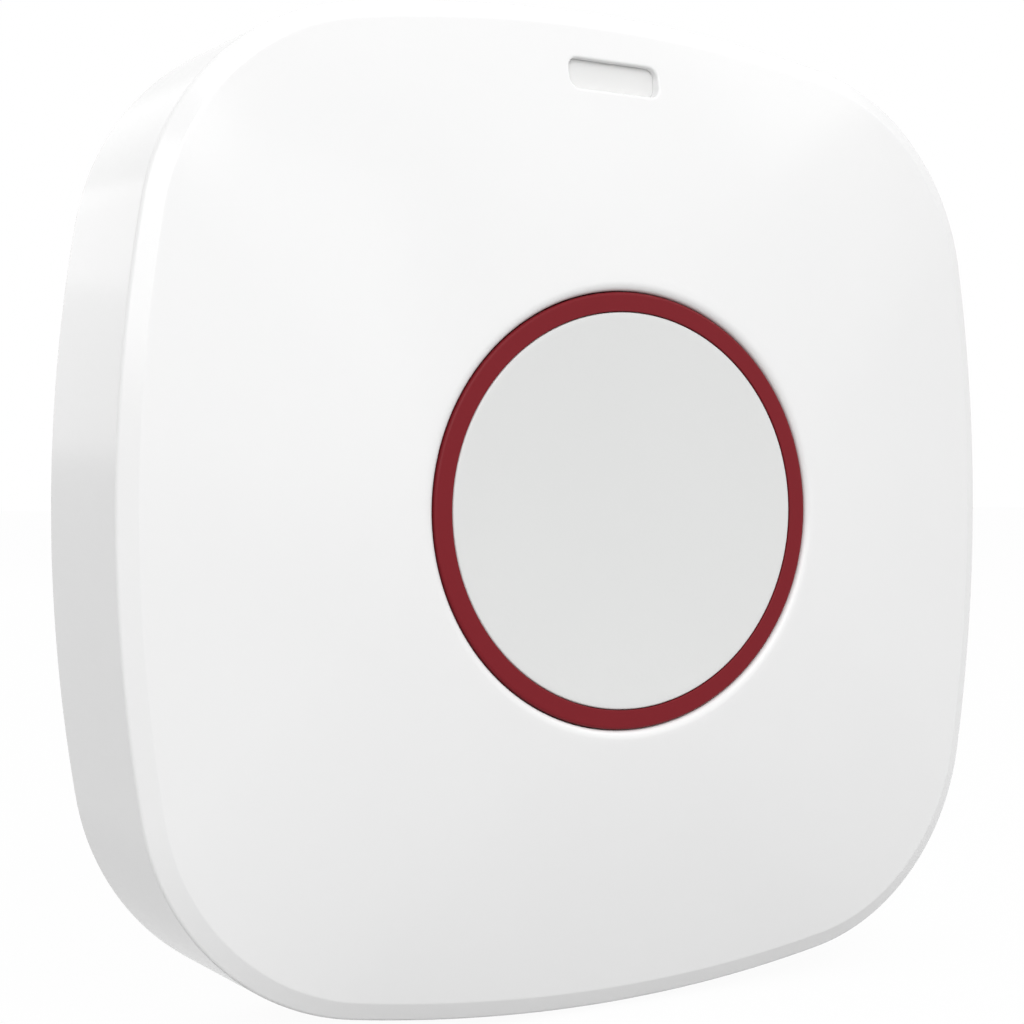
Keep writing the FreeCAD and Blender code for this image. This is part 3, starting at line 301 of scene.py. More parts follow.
def ceiling_rows():
    """Rows of the underside of the face: blends between the collar's circle and the inner wall's outline."""
    inner = (size - INNER_INSET for size in (HALF_WIDTH, SIDE_RADIUS, CORNER_RADIUS))
    wall_x, wall_z = housing_edge(TURN, *inner)
    start, end = SLOT_REACHES
    reach = [np.linspace(0, start, LEAD_ROWS + 1)[:-1], np.linspace(start, end, SLOT_ROWS + 1), [1.0]]
    reach = np.concatenate(reach)[:, None]
    x = COLLAR_RADIUS * CROWN_X * (1 - reach) + wall_x * reach
    z = COLLAR_RADIUS * CROWN_Z * (1 - reach) + wall_z * reach
    return on_ceiling(x, z)


def inner_wall_rows():
    """Rows down the inner side of the wall, from the ceiling to the panel's seat."""
    depth = np.linspace(LOCK_DEPTH + INNER_REACH, LOCK_DEPTH - INNER_REACH, WALL_ROWS + 1)
    return wall_rows([(-INNER_INSET, level) for level in [*depth, SEAT_DEPTH]])


def window_loop(skin, mask, top, bottom, first, last):
    """Cuts a window out of the skin's mask and gives the points round it: along its top row, down its last
    column, back and up its first."""
    mask[min(top, bottom) : max(top, bottom), first:last] = False
    step = 1 if bottom > top else -1
    across, down = np.arange(first, last), np.arange(top, bottom, step)
    parts = [skin[top, across], skin[down, last], skin[bottom, across + 1][::-1]]
    return np.concatenate([*parts, skin[down + step, first][::-1]])


def round_window(columns, rows, *corners):
    """A value for each point round a window, spread evenly from one of its corners to the next."""
    steps = np.cumsum([0, columns, rows, columns, rows])
    return np.interp(np.arange(steps[-1]), steps, corners)


def lead(surface, start, end, shares):
    """Loops that lead over a surface from one outline to another. An outline is two rows of coordinates. A
    loop blends start and end by its share, and surface gives its points."""
    return [surface(*(a * (1 - share) + b * share for a, b in zip(start, end))) for share in shares]


def slot_edge(wider):
    """The indicator slot's outline, made wider evenly. A centre runs round a rectangle while the direction
    turns at its corners, so the point is the centre plus the radius in that direction."""
    steps = [0, 4, 18, 22, 26, 36, 40, 44, 58, 62, 66, 76, 80]
    place = np.arange(steps[-1])
    side = np.interp(place, steps, [1, 1, -1, -1, -1, -1, -1, -1, 1, 1, 1, 1, 1])
    level = np.interp(place, steps, [1, 1, 1, 1, 1, -1, -1, -1, -1, -1, -1, 1, 1])
    angle = np.interp(place, steps, [45, 90, 90, 135, 180, 180, 225, 270, 270, 315, 360, 360, 405])
    angle = np.radians(angle)
    x = side * (SLOT_LENGTH / 2 - SLOT_CORNER) + (SLOT_CORNER + wider) * np.cos(angle)
    z = SLOT_Z + level * (SLOT_HEIGHT / 2 - SLOT_CORNER) + (SLOT_CORNER + wider) * np.sin(angle)
    return x, z


def slot_loops(skin, mask, face_row, ceiling_row):
    """The slot, from a window in the face over its softened rim and through to a window in the ceiling. The
    rim is a quarter of a circle of radius SLOT_EASE."""
    first, last = QUARTER - SLOT_COLUMNS, QUARTER + SLOT_COLUMNS
    above = window_loop(skin, mask, face_row, face_row + SLOT_ROWS, first, last)
    below = window_loop(skin, mask, ceiling_row + SLOT_ROWS, ceiling_row, first, last)
    loops = lead(on_face, above[:, [0, 2]].T, slot_edge(SLOT_EASE), np.linspace(0, 1, 7)[:-1])
    for fall in np.linspace(0, math.pi / 2, 6):
        rim = on_face(*slot_edge(SLOT_EASE * (1 - math.sin(fall))))
        loops.append(rim - (0, SLOT_EASE * (1 - math.cos(fall)), 0))
    return loops + lead(on_ceiling, slot_edge(0), below[:, [0, 2]].T, np.linspace(0, 1, 4))


def lock_loops(skin, mask, outer_row, inner_row):
    """The lock screw's way through the bottom wall: a round recess with an eased rim, a flat step for the
    head and a hole. A point of its circles is at radius * (cos, sin) of its angle."""
    first, last = 3 * QUARTER - LOCK_COLUMNS, 3 * QUARTER + LOCK_COLUMNS
    outer = window_loop(skin, mask, outer_row, outer_row + WALL_ROWS, first, last)
    inner = window_loop(skin, mask, inner_row + WALL_ROWS, inner_row, first, last)
    angle = np.radians(round_window(2 * LOCK_COLUMNS, WALL_ROWS, 135, 45, -45, -135, -225))

    def circle(radius):
        return radius * np.cos(angle), LOCK_DEPTH - radius * np.sin(angle)

    def outer_wall(x, depth):
        return on_side(x, depth, draft(depth), -1)

    def inner_wall(x, depth):
        return on_side(x, depth, -INNER_INSET, -1)

    loops = lead(outer_wall, outer[:, :2].T, circle(LOCK_RECESS_RADIUS + LOCK_EASE), (0, 0.5, 1))
    for fall in np.linspace(0, math.pi / 2, 5)[1:]:
        rim = outer_wall(*circle(LOCK_RECESS_RADIUS + LOCK_EASE * (1 - math.sin(fall))))
        loops.append(rim + (0, 0, LOCK_EASE * (1 - math.cos(fall))))
    step = LOCK_RECESS_DEPTH - HALF_WIDTH
    loops += [stacked(*circle(radius), step) for radius in (LOCK_RECESS_RADIUS, LOCK_HOLE)]
    return loops + lead(inner_wall, inner[:, :2].T, circle(LOCK_HOLE), (1, 0.5, 0))


def catch_loops(skin, mask, row, side):
    """A catch's square recess in the inner side of the top wall, right of its middle or left where side is
    -1. Its floor closes along a line."""
    near, far = CATCH_COLUMNS
    first, columns = QUARTER - far if side > 0 else QUARTER + near, far - near
    window = window_loop(skin, mask, row, row + WALL_ROWS, first, first + columns)
    start, end = (CATCH_OUTER, CATCH_INNER) if side > 0 else (-CATCH_INNER, -CATCH_OUTER)
    front, rear = CATCH_FRONT, CATCH_REAR
    x = round_window(columns, WALL_ROWS, start, end, end, start, start)
    depth = round_window(columns, WALL_ROWS, front, front, rear, rear, front)

    def inner_wall(x, depth):
        return on_side(x, depth, -INNER_INSET)

    loops = lead(inner_wall, window[:, :2].T, (x, depth), (0, 0.5, 1))
    return loops + [stacked(x, level, CATCH_FLOOR) for level in (depth, (front + rear) / 2)]


def front_shell_grids():
    """The shell as one closed skin. Its rows run from the panel's seat over the rim, wall, bevel and face,
    down through the opening, over the collar and the ceiling, and back along the inner wall. Loops join the
    windows that are cut in it."""
    outside, lock_row = wall_and_bevel_rows()
    ceiling, inside = ceiling_rows(), inner_wall_rows()
    skin = np.concatenate([outside, face_rows(), opening_rows(), ceiling, inside])
    mask = np.ones(skin.shape[:2], bool)
    inner_row = len(skin) - len(inside)
    face_row, ceiling_row = len(outside) + LEAD_ROWS, inner_row - len(ceiling) + LEAD_ROWS
    windows = [slot_loops(skin, mask, face_row, ceiling_row), lock_loops(skin, mask, lock_row, inner_row)]
    windows += [catch_loops(skin, mask, inner_row, side) for side in (1, -1)]
    return [(skin, mask), *((np.array(loops),) for loops in windows)]


def turned(profile, steps, x=0.0, z=0.0):
    """A surface of revolution about an axis along Y through x, z. Each point of the profile is a radius and
    a depth, and it is carried round a full circle."""
    angle = np.arange(steps) / steps * 2 * math.pi
    radius, depth = np.array(profile, float).T[:, :, None]
    return stacked(x + radius * np.cos(angle), depth, z + radius * np.sin(angle))


def bar(low, high, spin=0.0):
    """A block as one closed grid of four rows: a line, the rear edge, the front edge and a line again. Low
    and high are x, depth and z before the block is spun about the Y axis by spin, in degrees."""
    (x0, d0, z0), (x1, d1, z1) = low, high
    x, z = np.array([x0, x1, x1, x0]), np.array([z0, z0, z1, z1])
    flat = np.full(4, (z0 + z1) / 2)
    rows = np.array([stacked(*row) for row in ((x, d0, flat), (x, d0, z), (x, d1, z), (x, d1, flat))])
    x, depth, z = np.moveaxis(rows, -1, 0)
    c, s = math.cos(math.radians(spin)), math.sin(math.radians(spin))
    return stacked(x * c - z * s, depth, x * s + z * c)


def moulded(name, grids):
    """One mesh from several grids of points, in millimetres as x, depth and z. Each grid closes round its
    columns, and round its rows too where its mask has as many rows as it has. Grids that share an edge are
    welded there."""
    corners, quads, offset = [], [], 0
    for points, *masks in grids:
        rows, columns = points.shape[:2]
        mask = masks[0] if masks else np.ones((rows - 1, columns), bool)
        i, j = np.nonzero(mask)
        down, right = (i + 1) % rows, (j + 1) % columns
        quad = [i * columns + j, i * columns + right, down * columns + right, down * columns + j]
        quads.append(np.stack(quad, 1) + offset)
        corners.append(points.reshape(-1, 3))
        offset += rows * columns
    corners, quads = np.concatenate(corners), np.concatenate(quads)
    mesh = bpy.data.meshes.new(name)
    mesh.vertices.add(len(corners))
    mesh.vertices.foreach_set("co", (corners * (0.001, -0.001, 0.001)).ravel())
    mesh.loops.add(quads.size)
    mesh.loops.foreach_set("vertex_index", quads.ravel().astype(np.int32))
    mesh.polygons.add(len(quads))
    mesh.polygons.foreach_set("loop_start", np.arange(0, quads.size, 4, dtype=np.int32))
    mesh.update(calc_edges=True)
    work = bmesh.new()
    work.from_mesh(mesh)
    bmesh.ops.remove_doubles(work, verts=work.verts, dist=WELD)
    loose = [vertex for vertex in work.verts if not vertex.link_faces]
    bmesh.ops.delete(work, geom=loose, context="VERTS")
    bmesh.ops.recalc_face_normals(work, faces=work.faces)
    work.to_mesh(mesh)
    work.free()
    mesh.shade_smooth()
    mesh.set_sharp_from_angle(angle=math.radians(SHARP_ANGLE))
    made = bpy.data.objects.new(name, mesh)
    bpy.context.scene.collection.objects.link(made)
    return made


def feed(tree, node, sockets):
    """Sets each named input of a shader node to its value, or links it to another node's output, and gives
    the node's own outputs."""
    for socket, value in sockets.items():
        if isinstance(value, bpy.types.NodeSocket):
            tree.links.new(value, node.inputs[socket])
        else:
            node.inputs[socket].default_value = value
    return node.outputs


def noise(tree, place, scale, detail=2):
    """Cloud noise from 0 to 1, with scale clouds to the metre."""
    cloud = tree.nodes.new("ShaderNodeTexNoise")
    return feed(tree, cloud, {"Vector": place, "Scale": scale, "Detail": detail})["Fac"]


def spread(tree, value, low, high):
    """A value from 0 to 1, spread from low to high."""
    scaled = tree.nodes.new("ShaderNodeMapRange")
    return feed(tree, scaled, {"Value": value, "To Min": low, "To Max": high})["Result"]


def blend(tree, factor, low, high):
    """A colour that goes from low to high with the factor."""
    mix = tree.nodes.new("ShaderNodeMix")
    mix.data_type = "RGBA"
    return feed(tree, mix, {"Factor": factor, "A": (*low, 1), "B": (*high, 1)})["Result"]


def relief(tree, height, strength, distance):
    """The normal of a surface that stands up by height times distance, in metres."""
    bump = tree.nodes.new("ShaderNodeBump")
    return feed(tree, bump, {"Height": height, "Strength": strength, "Distance": distance})["Normal"]


def new_material(name):
    """A material, its node tree and the Object coordinates of the shaded point."""
    made = bpy.data.materials.new(name)
    made.use_nodes = True
    place = made.node_tree.nodes.new("ShaderNodeTexCoord").outputs["Object"]
    return made, made.node_tree, place


def plastic(name, colour, roughness, grain, vary=0.012, sheen=0.5):
    """Moulded plastic. The colour drifts by a hundredth over centimetres, the gloss by a few hundredths over
    millimetres, and the surface carries the fine grain of a spark-eroded mould."""
    made, tree, place = new_material(name)
    low, high = ([min(c * share, 1) for c in colour] for share in (1 - vary, 1 + vary))
    gloss = noise(tree, place, scale=700, detail=3)
    pores = noise(tree, place, scale=5200)
    sockets = {
        "Specular IOR Level": sheen,
        "Base Color": blend(tree, noise(tree, place, scale=90), low, high),
        "Roughness": spread(tree, gloss, low=roughness * 0.85, high=roughness * 1.15),
        "Normal": relief(tree, pores, strength=grain, distance=0.00008),
    }
    feed(tree, tree.nodes["Principled BSDF"], sockets)
    return made


PILOT = [(0, BOSS_DEPTH + PILOT_DEPTH), (PILOT_RADIUS, BOSS_DEPTH + PILOT_DEPTH), (PILOT_RADIUS, BOSS_DEPTH)]
PIN = [(0, BOSS_DEPTH - PIN_LENGTH), (PIN_RADIUS, BOSS_DEPTH - PIN_LENGTH), (PIN_RADIUS, BOSS_DEPTH)]
BOSS_SIDE = [(BOSS_RADIUS, BOSS_DEPTH), (BOSS_RADIUS, BOSS_ROOT), (0, BOSS_ROOT)]
PEG = [(0, PEG_DEPTH), (PEG_RADIUS, PEG_DEPTH), (PEG_RADIUS, PEG_FRONT), (0, PEG_FRONT)]
GUSSET = ((GUSSET_START, GUSSET_BACK, -GUSSET_HALF), (GUSSET_END, GUSSET_FRONT, GUSSET_HALF))
shell_grids = front_shell_grids()
for i, j, tip in ((1, 1, PILOT), (-1, -1, PILOT), (1, -1, PIN), (-1, 1, PIN)):
    shell_grids.append((turned(tip + BOSS_SIDE, steps=48, x=i * BOSS_PLACE, z=j * BOSS_PLACE),))
for spin in (45, 135, 225, 315):
    shell_grids.append((bar(*GUSSET, spin),))
for side in (-1, 1):
    shell_grids.append((turned(PEG, steps=24, x=side * PEG_X, z=SLOT_Z - SLOT_HEIGHT / 2),))
shell = moulded("shell", shell_grids)
shell.data.materials.append(plastic("shell_white", (0.86, 0.86, 0.86), 0.18, grain=0.02))
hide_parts("front_shell")
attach(shell, "housing")

# Rear panel. The flat white ABS cover let into the back of the shell, finely textured. It has two countersunk
# holes for wall screws, two catches under the top wall, a boss for the lock screw and softened edges.
EASED_ANGLE = 35


def eased(node, name, width):
    """A copy of a solid whose loose triangles are merged and whose flat faces are joined. A bevel, width
    wide, then eases each edge that turns by more than EASED_ANGLE, inwards from the solid's own faces."""
    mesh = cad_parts[node].data.copy()
    mesh.materials.clear()
    work = bmesh.new()
    work.from_mesh(mesh)
    bmesh.ops.remove_doubles(work, verts=work.verts, dist=WELD)
    bmesh.ops.dissolve_limit(work, angle_limit=math.radians(1), verts=work.verts, edges=work.edges)
    work.to_mesh(mesh)
    work.free()
    mesh.shade_smooth()
    mesh.set_sharp_from_angle(angle=math.radians(EASED_ANGLE))
    made = bpy.data.objects.new(name, mesh)
    bpy.context.scene.collection.objects.link(made)
    bevel = made.modifiers.new("eased edges", "BEVEL")
    bevel.width = width
    bevel.segments = 2
    bevel.limit_method = "ANGLE"
    bevel.angle_limit = math.radians(EASED_ANGLE)
    bevel.harden_normals = True
    return made


panel = eased("rear_panel", "panel", width=0.00012)
panel.data.materials.append(plastic("panel_white", (0.84, 0.84, 0.83), 0.42, grain=0.3))
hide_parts("rear_panel")
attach(panel, "housing")

# Lock screw and board screws. Cold-headed steel with a cross recess, nickel plated: one goes up through the
# bottom wall into the panel, and two hold the board to its bosses.


def metal(name, colour, roughness, stretch=(1, 1, 1)):
    """Plated or rolled metal. Noise drawn out by stretch along an axis gives its rolling or turning marks,
    which change the gloss and stand a few micrometres proud, and a slow noise tints the plating."""
    made, tree, place = new_material(name)
    drawn = feed(tree, tree.nodes.new("ShaderNodeMapping"), {"Vector": place, "Scale": stretch})["Vector"]
    marks = noise(tree, drawn, scale=2500, detail=4)
    tint = noise(tree, place, scale=400)
    sockets = {
        "Metallic": 1,
        "Base Color": blend(tree, tint, [c * 0.93 for c in colour], colour),
        "Roughness": spread(tree, marks, low=roughness * 0.7, high=roughness * 1.3),
        "Normal": relief(tree, marks, strength=0.15, distance=0.00001),
    }
    feed(tree, tree.nodes["Principled BSDF"], sockets)
    return made


def finish(material, *nodes):
    """Gives the material to every slot of some CAD nodes."""
    for node in nodes:
        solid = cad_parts[node]
        if not solid.material_slots:
            solid.data.materials.append(material)
        for place in solid.material_slots:
            place.material = material


nickel = metal("nickel", (0.72, 0.71, 0.68), 0.25)
lock = eased("lock_screw", "lock", width=0.0001)
lock.data.materials.append(nickel)
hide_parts("lock_screw")
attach(lock, "housing")
finish(nickel, "board_screws")

# Circuit board. Glass-fibre laminate under green solder mask, with copper tracks that show through as
# lighter, slightly raised lines. Holes for the screws, pins and holder pegs are drilled through it.
MASK_GREEN = (0.012, 0.13, 0.045)
TRACK_GREEN = (0.03, 0.24, 0.085)
CELLS_PER_METRE = 250


def arithmetic(tree, operation, first, second):
    """One calculation with two values."""
    node = tree.nodes.new("ShaderNodeMath")
    node.operation = operation
    return feed(tree, node, {0: first, 1: second})[0]


def solder_mask():
    """The mask's colour and gloss. Tracks lie where a Manhattan Voronoi cell meets the next one, where the
    distances to the two nearest middles are nearly the same. The cells are 4 mm wide, and their walls run
    straight along the board or at 45 degrees to it."""
    made, tree, place = new_material("board_green")
    flat = feed(tree, tree.nodes.new("ShaderNodeMapping"), {"Vector": place, "Scale": (1, 0, 1)})["Vector"]
    distances = []
    for feature in ("F1", "F2"):
        cells = tree.nodes.new("ShaderNodeTexVoronoi")
        cells.distance = "MANHATTAN"
        cells.feature = feature
        distances.append(feed(tree, cells, {"Vector": flat, "Scale": CELLS_PER_METRE})["Distance"])
    gap = arithmetic(tree, "SUBTRACT", distances[1], distances[0])
    limits = {"Value": gap, "From Min": 0.1, "From Max": 0.16, "To Min": 1, "To Max": 0}
    track = feed(tree, tree.nodes.new("ShaderNodeMapRange"), limits)["Result"]
    weave = noise(tree, place, scale=1800)
    sockets = {
        "Coat Weight": 0.5,
        "Coat Roughness": 0.15,
        "Base Color": blend(tree, track, MASK_GREEN, TRACK_GREEN),
        "Roughness": spread(tree, weave, low=0.3, high=0.45),
        "Normal": relief(tree, track, strength=0.6, distance=0.00003),
    }
    feed(tree, tree.nodes["Principled BSDF"], sockets)
    return made


finish(solder_mask(), "circuit_board")

# Parts on the board. Chips in matt black epoxy, a tinned steel shield over the radio, the antenna stamped
# from tinned sheet, and the quartz crystal in its drawn can. All are soldered down.
epoxy = plastic("epoxy", (0.025, 0.025, 0.028), 0.5, grain=0.4, vary=0.15)
finish(epoxy, "radio_chip", "controller_chip")
finish(metal("tinned", (0.74, 0.74, 0.72), 0.38, stretch=(1, 1, 0.08)), "radio_shield", "antenna")
finish(metal("drawn_can", (0.7, 0.7, 0.7), 0.28, stretch=(0.1, 1, 1)), "crystal")

# Small parts with two finishes. The ceramic capacitors are tan with tinned ends, the status light has a
# clear dome on a white base, and both kinds of push switch are black nylon under a steel cover.
TIN = ((0.74, 0.74, 0.72), 1, 0.35)
CERAMIC = ((0.34, 0.24, 0.14), 0, 0.4)
LIGHT_BASE = ((0.82, 0.82, 0.8), 0, 0.4)
LIGHT_DOME = ((0.8, 0.8, 0.76), 0, 0.12)
BLACK_NYLON = ((0.02, 0.02, 0.022), 0, 0.45)
COVER = ((0.66, 0.66, 0.66), 1, 0.3)


def two_finishes(name, axis, place, half, inner, outer):
    """A part that changes finish half to either side of a place along an axis, in metres. Inner and outer
    each give colour, metallic and roughness, and a noise varies the colour by a tenth."""
    made, tree, where = new_material(name)
    beyond = feed(tree, tree.nodes.new("ShaderNodeSeparateXYZ"), {0: where})[axis]
    for operation, number in (("SUBTRACT", place), ("ABSOLUTE", 0), ("GREATER_THAN", half)):
        beyond = arithmetic(tree, operation, beyond, number)
    colour = blend(tree, beyond, inner[0], outer[0])
    shade = spread(tree, noise(tree, where, scale=2200), low=0.9, high=1.1)
    tinted = tree.nodes.new("ShaderNodeVectorMath")
    tinted.operation = "SCALE"
    sockets = {"Base Color": feed(tree, tinted, {0: colour, "Scale": shade})[0]}
    for index, socket in ((1, "Metallic"), (2, "Roughness")):
        mix = tree.nodes.new("ShaderNodeMix")
        sockets[socket] = feed(tree, mix, {"Factor": beyond, "A": inner[index], "B": outer[index]})["Result"]
    feed(tree, tree.nodes["Principled BSDF"], sockets)
    return made


for node, name, axis, place, half, inner, outer in (
    ("capacitors", "ceramic_tan", "Z", -0.015, 0.0005, CERAMIC, TIN),
    ("status_led", "status_white", "Y", -0.0087, 0.0006, LIGHT_BASE, LIGHT_DOME),
    ("switch_body", "switch_black", "Y", -0.0087, 0.0022, BLACK_NYLON, COVER),
    ("tamper_switch", "tamper_black", "Y", -0.0077, 0.0031, BLACK_NYLON, COVER),
    ("pairing_switch", "pairing_black", "Y", -0.0077, 0.0012, BLACK_NYLON, COVER),
):
    finish(two_finishes(name, axis, place, half, inner, outer), node)
nylon_white = plastic("nylon_white", (0.72, 0.71, 0.67), 0.38, grain=0.1)
finish(nylon_white, "switch_plunger", "tamper_plunger", "pairing_plunger")

# Battery. A coin cell with a turned finish on its steel can, in a tray of glass-filled black nylon. A
# gold-plated spring touches its rim and a gold-plated leaf its middle.


def turned_steel():
    """The cell's can: fine rings about its axis. A wave whose phase is the distance from the axis, plus
    noise, varies the gloss and the height by a little."""
    made, tree, place = new_material("cell_steel")
    wave = tree.nodes.new("ShaderNodeTexWave")
    wave.wave_type = "RINGS"
    wave.rings_direction = "Y"
    rings = feed(tree, wave, {"Vector": place, "Scale": 900, "Distortion": 2, "Detail": 3})["Fac"]
    sockets = {
        "Metallic": 1,
        "Base Color": blend(tree, rings, (0.6, 0.6, 0.6), (0.7, 0.7, 0.69)),
        "Roughness": spread(tree, rings, low=0.22, high=0.4),
        "Normal": relief(tree, rings, strength=0.2, distance=0.00001),
    }
    feed(tree, tree.nodes["Principled BSDF"], sockets)
    return made


finish(turned_steel(), "coin_cell")
finish(plastic("filled_nylon", (0.028, 0.028, 0.03), 0.55, grain=0.35, vary=0.2), "battery_holder")
gold_plate = metal("gold_plate", (0.9, 0.66, 0.3), 0.22, stretch=(1, 1, 0.1))
finish(gold_plate, "positive_contact", "negative_contact")

# Return spring. Two and a half turns of round spring steel wire between the board and the carrier's plate.
# On the real button it is compressed as the button goes in; here it is drawn as one fixed coil.
SPRING_RADIUS = 6.4
SPRING_WIRE = 0.25
SPRING_TURNS = 2.5
SPRING_BACK = 8.97
SPRING_FRONT = 12.63
SPRING_RINGS = 160
WIRE_POINTS = 12


def coil():
    """A tube round a helix. A ring's centre is at the spring's radius, turned by its share of the turns and
    raised by its share of the height. Its points lie round it, outwards and along the axis. The first and
    last rings shrink to a point, which closes the ends."""
    share = np.linspace(0, 1, SPRING_RINGS)
    share = np.concatenate([share[:1], share, share[-1:]])[:, None]
    wire = np.full(share.shape, SPRING_WIRE)
    wire[[0, -1]] = 0
    turn = share * SPRING_TURNS * 2 * math.pi
    round_it = np.arange(WIRE_POINTS) / WIRE_POINTS * 2 * math.pi
    radius = SPRING_RADIUS + wire * np.cos(round_it)
    depth = SPRING_BACK + (SPRING_FRONT - SPRING_BACK) * share + wire * np.sin(round_it)
    return stacked(radius * np.cos(turn), depth, radius * np.sin(turn))


spring = moulded("spring", [(coil(),)])
spring.data.materials.append(metal("spring_steel", (0.55, 0.55, 0.56), 0.2))
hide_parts("return_spring")
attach(spring, "housing")
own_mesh(spring)

# Button ring. The dark red moulding that carries the button: its front edge is the ring round the cap. A
# plate crosses it inside, with the post that presses the switch, and three lugs stop it at the collar.
RING_OUTER = 13.62
RING_INNER = 12.41
RING_FRONT = OPENING_TOP - 0.12
RING_STEPS = 288
POST_RADIUS = 2.2
POST_BACK = 12.3
PLATE_BACK = 12.9
PLATE_FRONT = 13.7
LUG_BACK = 11.7
LUG_FRONT = 12.5
LUG_START = RING_OUTER - 0.6
LUG_END = 15.2
LUG_HALF = 3
NIB_START = 5.15
NIB_END = 5.85
HOOK_TIP = PLATE_BACK - 0.7
HOOK_HALF = 1.5
carrier = softened(
    [
        (0, POST_BACK, 0),
        (POST_RADIUS, POST_BACK, 0.15),
        (POST_RADIUS, PLATE_BACK, 0.1),
        (RING_INNER, PLATE_BACK, 0.2),
        (RING_INNER, LUG_BACK, 0.15),
        (RING_OUTER, LUG_BACK, 0.15),
        (RING_OUTER, RING_FRONT, 0.2),
        (RING_INNER, RING_FRONT, 0.06),
        (RING_INNER, PLATE_FRONT, 0.05),
        (0, PLATE_FRONT, 0),
    ]
)
LUG = ((LUG_START, LUG_BACK + 0.02, -LUG_HALF), (LUG_END, LUG_FRONT, LUG_HALF))
NIB = ((NIB_START, HOOK_TIP, -HOOK_HALF), (NIB_END, PLATE_BACK + 0.4, HOOK_HALF))
ring_grids = [(turned(carrier, RING_STEPS),)]
for spin in (90, 210, 330):
    ring_grids += [(bar(*LUG, spin),), (bar(*NIB, spin),)]
ring = moulded("ring", ring_grids)
ring_red = plastic("ring_red", (0.195, 0.012, 0.018), 0.4, grain=0.04, vary=0.03, sheen=0.15)
ring.data.materials.append(ring_red)
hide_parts("button_ring")
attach(ring, "button")

# Button cap. A light grey disc pressed into the ring, slightly hollow for the fingertip, with a softened
# rim. Three hooks on its back snap through the carrier's plate.
CAP_RADIUS = 12.37
CAP_FRONT = RING_FRONT - 0.05
CAP_BACK = PLATE_FRONT + 0.01
CAP_DISH = 0.35
CAP_EASE = 0.12
HOOK_START = 8.55
HOOK_END = 9.45
BARB_START = HOOK_END - 0.05
BARB_END = HOOK_END + 0.4
BARB_BACK = HOOK_TIP + 0.01
BARB_FRONT = PLATE_BACK - 0.02
BARB_HALF = 1.49
HOOK = ((HOOK_START, HOOK_TIP, -HOOK_HALF), (HOOK_END, PLATE_FRONT + 0.2, HOOK_HALF))
BARB = ((BARB_START, BARB_BACK, -BARB_HALF), (BARB_END, BARB_FRONT, BARB_HALF))


def cap_profile():
    """The disc's section: its back, a rim that is a quarter of a circle of radius CAP_EASE, and a front that
    falls by CAP_DISH * (1 - reach^2) to the middle, where reach is the share of the way out."""
    rim = np.linspace(0, math.pi / 2, 7)
    reach = np.linspace(1, 0, 40)[1:]
    radius = [0, CAP_RADIUS, *(CAP_RADIUS - CAP_EASE * (1 - np.cos(rim))), *((CAP_RADIUS - CAP_EASE) * reach)]
    front = [*(CAP_FRONT - CAP_EASE * (1 - np.sin(rim))), *(CAP_FRONT - CAP_DISH * (1 - reach**2))]
    return np.stack([radius, [CAP_BACK, CAP_BACK, *front]], 1)


cap_grids = [(turned(cap_profile(), RING_STEPS),)]
for spin in (30, 150, 270):
    cap_grids += [(bar(*HOOK, spin),), (bar(*BARB, spin),)]
cap = moulded("cap", cap_grids)
cap.data.materials.append(plastic("cap_grey", (0.74, 0.745, 0.74), 0.34, grain=0.05))
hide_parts("button_cap")
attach(cap, "button")

# Light guide. A frosted clear moulding that fills the bottom of the indicator slot and leads down to the
# status light, with a flange behind the face. Its front edge is softened.
GUIDE_SINK = 0.7
GUIDE_BACK = PEG_DEPTH + 0.4
GUIDE_FRONT = FACE_DEPTH + DOME_HEIGHT * (1 - (SLOT_Z / FACE_HALF) ** 2) - GUIDE_SINK
GUIDE_GAP = 0.01
GUIDE_EASE = 0.02
FLANGE = ((-6.4, PEG_DEPTH, 24.95), (6.4, PEG_DEPTH + 0.8, 28.29))


def guide_rows():
    """Rows of the guide: its flat back, the side that follows the slot's outline, a front edge that is a
    quarter of a circle of radius GUIDE_EASE, and its flat front. Back and front close to a point."""
    x, z = slot_edge(-GUIDE_GAP)
    rows = [stacked(x * 0, GUIDE_BACK, SLOT_Z + z * 0), stacked(x, GUIDE_BACK, z)]
    for fall in np.linspace(0, math.pi / 2, 5):
        x, z = slot_edge(-GUIDE_GAP - GUIDE_EASE * (1 - math.cos(fall)))
        rows.append(stacked(x, GUIDE_FRONT - GUIDE_EASE * (1 - math.sin(fall)), z))
    rows += [stacked(x * share, GUIDE_FRONT, SLOT_Z + (z - SLOT_Z) * share) for share in (0.5, 0)]
    return np.array(rows)


guide = moulded("guide", [(guide_rows(),), (bar(*FLANGE),)])
guide.data.materials.append(plastic("guide_clear", (0.79, 0.79, 0.785), 0.4, grain=0.08))
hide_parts("light_guide")
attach(guide, "housing")

# Floor. A sheet of paper under the lower edge, which shows white to the camera and in reflections, keeps the
# button's shadow and throws back a third of the light.
FLOOR = -0.0318
FLOOR_REACH = 3
PAPER_SEEN = (0.9, 0.9, 0.9)
PAPER_BOUNCE = (0.33, 0.33, 0.33)
PAPER_WHITE = 0.95


def white_to_camera(tree, lit, output, kind, share):
    """Mixes plain white into a surface or the world, by share, for rays from the camera and reflections.
    Kind is the node that gives the white."""
    path = tree.nodes.new("ShaderNodeLightPath").outputs
    seen = path["Is Camera Ray"]
    for ray in ("Is Glossy Ray", "Is Transmission Ray"):
        seen = arithmetic(tree, "MAXIMUM", seen, path[ray])
    part = arithmetic(tree, "MULTIPLY", seen, share)
    white = feed(tree, tree.nodes.new(kind), {"Color": (1, 1, 1, 1)})[0]
    both = feed(tree, tree.nodes.new("ShaderNodeMixShader"), {0: part, 1: lit.outputs[0], 2: white})[0]
    feed(tree, output, {"Surface": both})


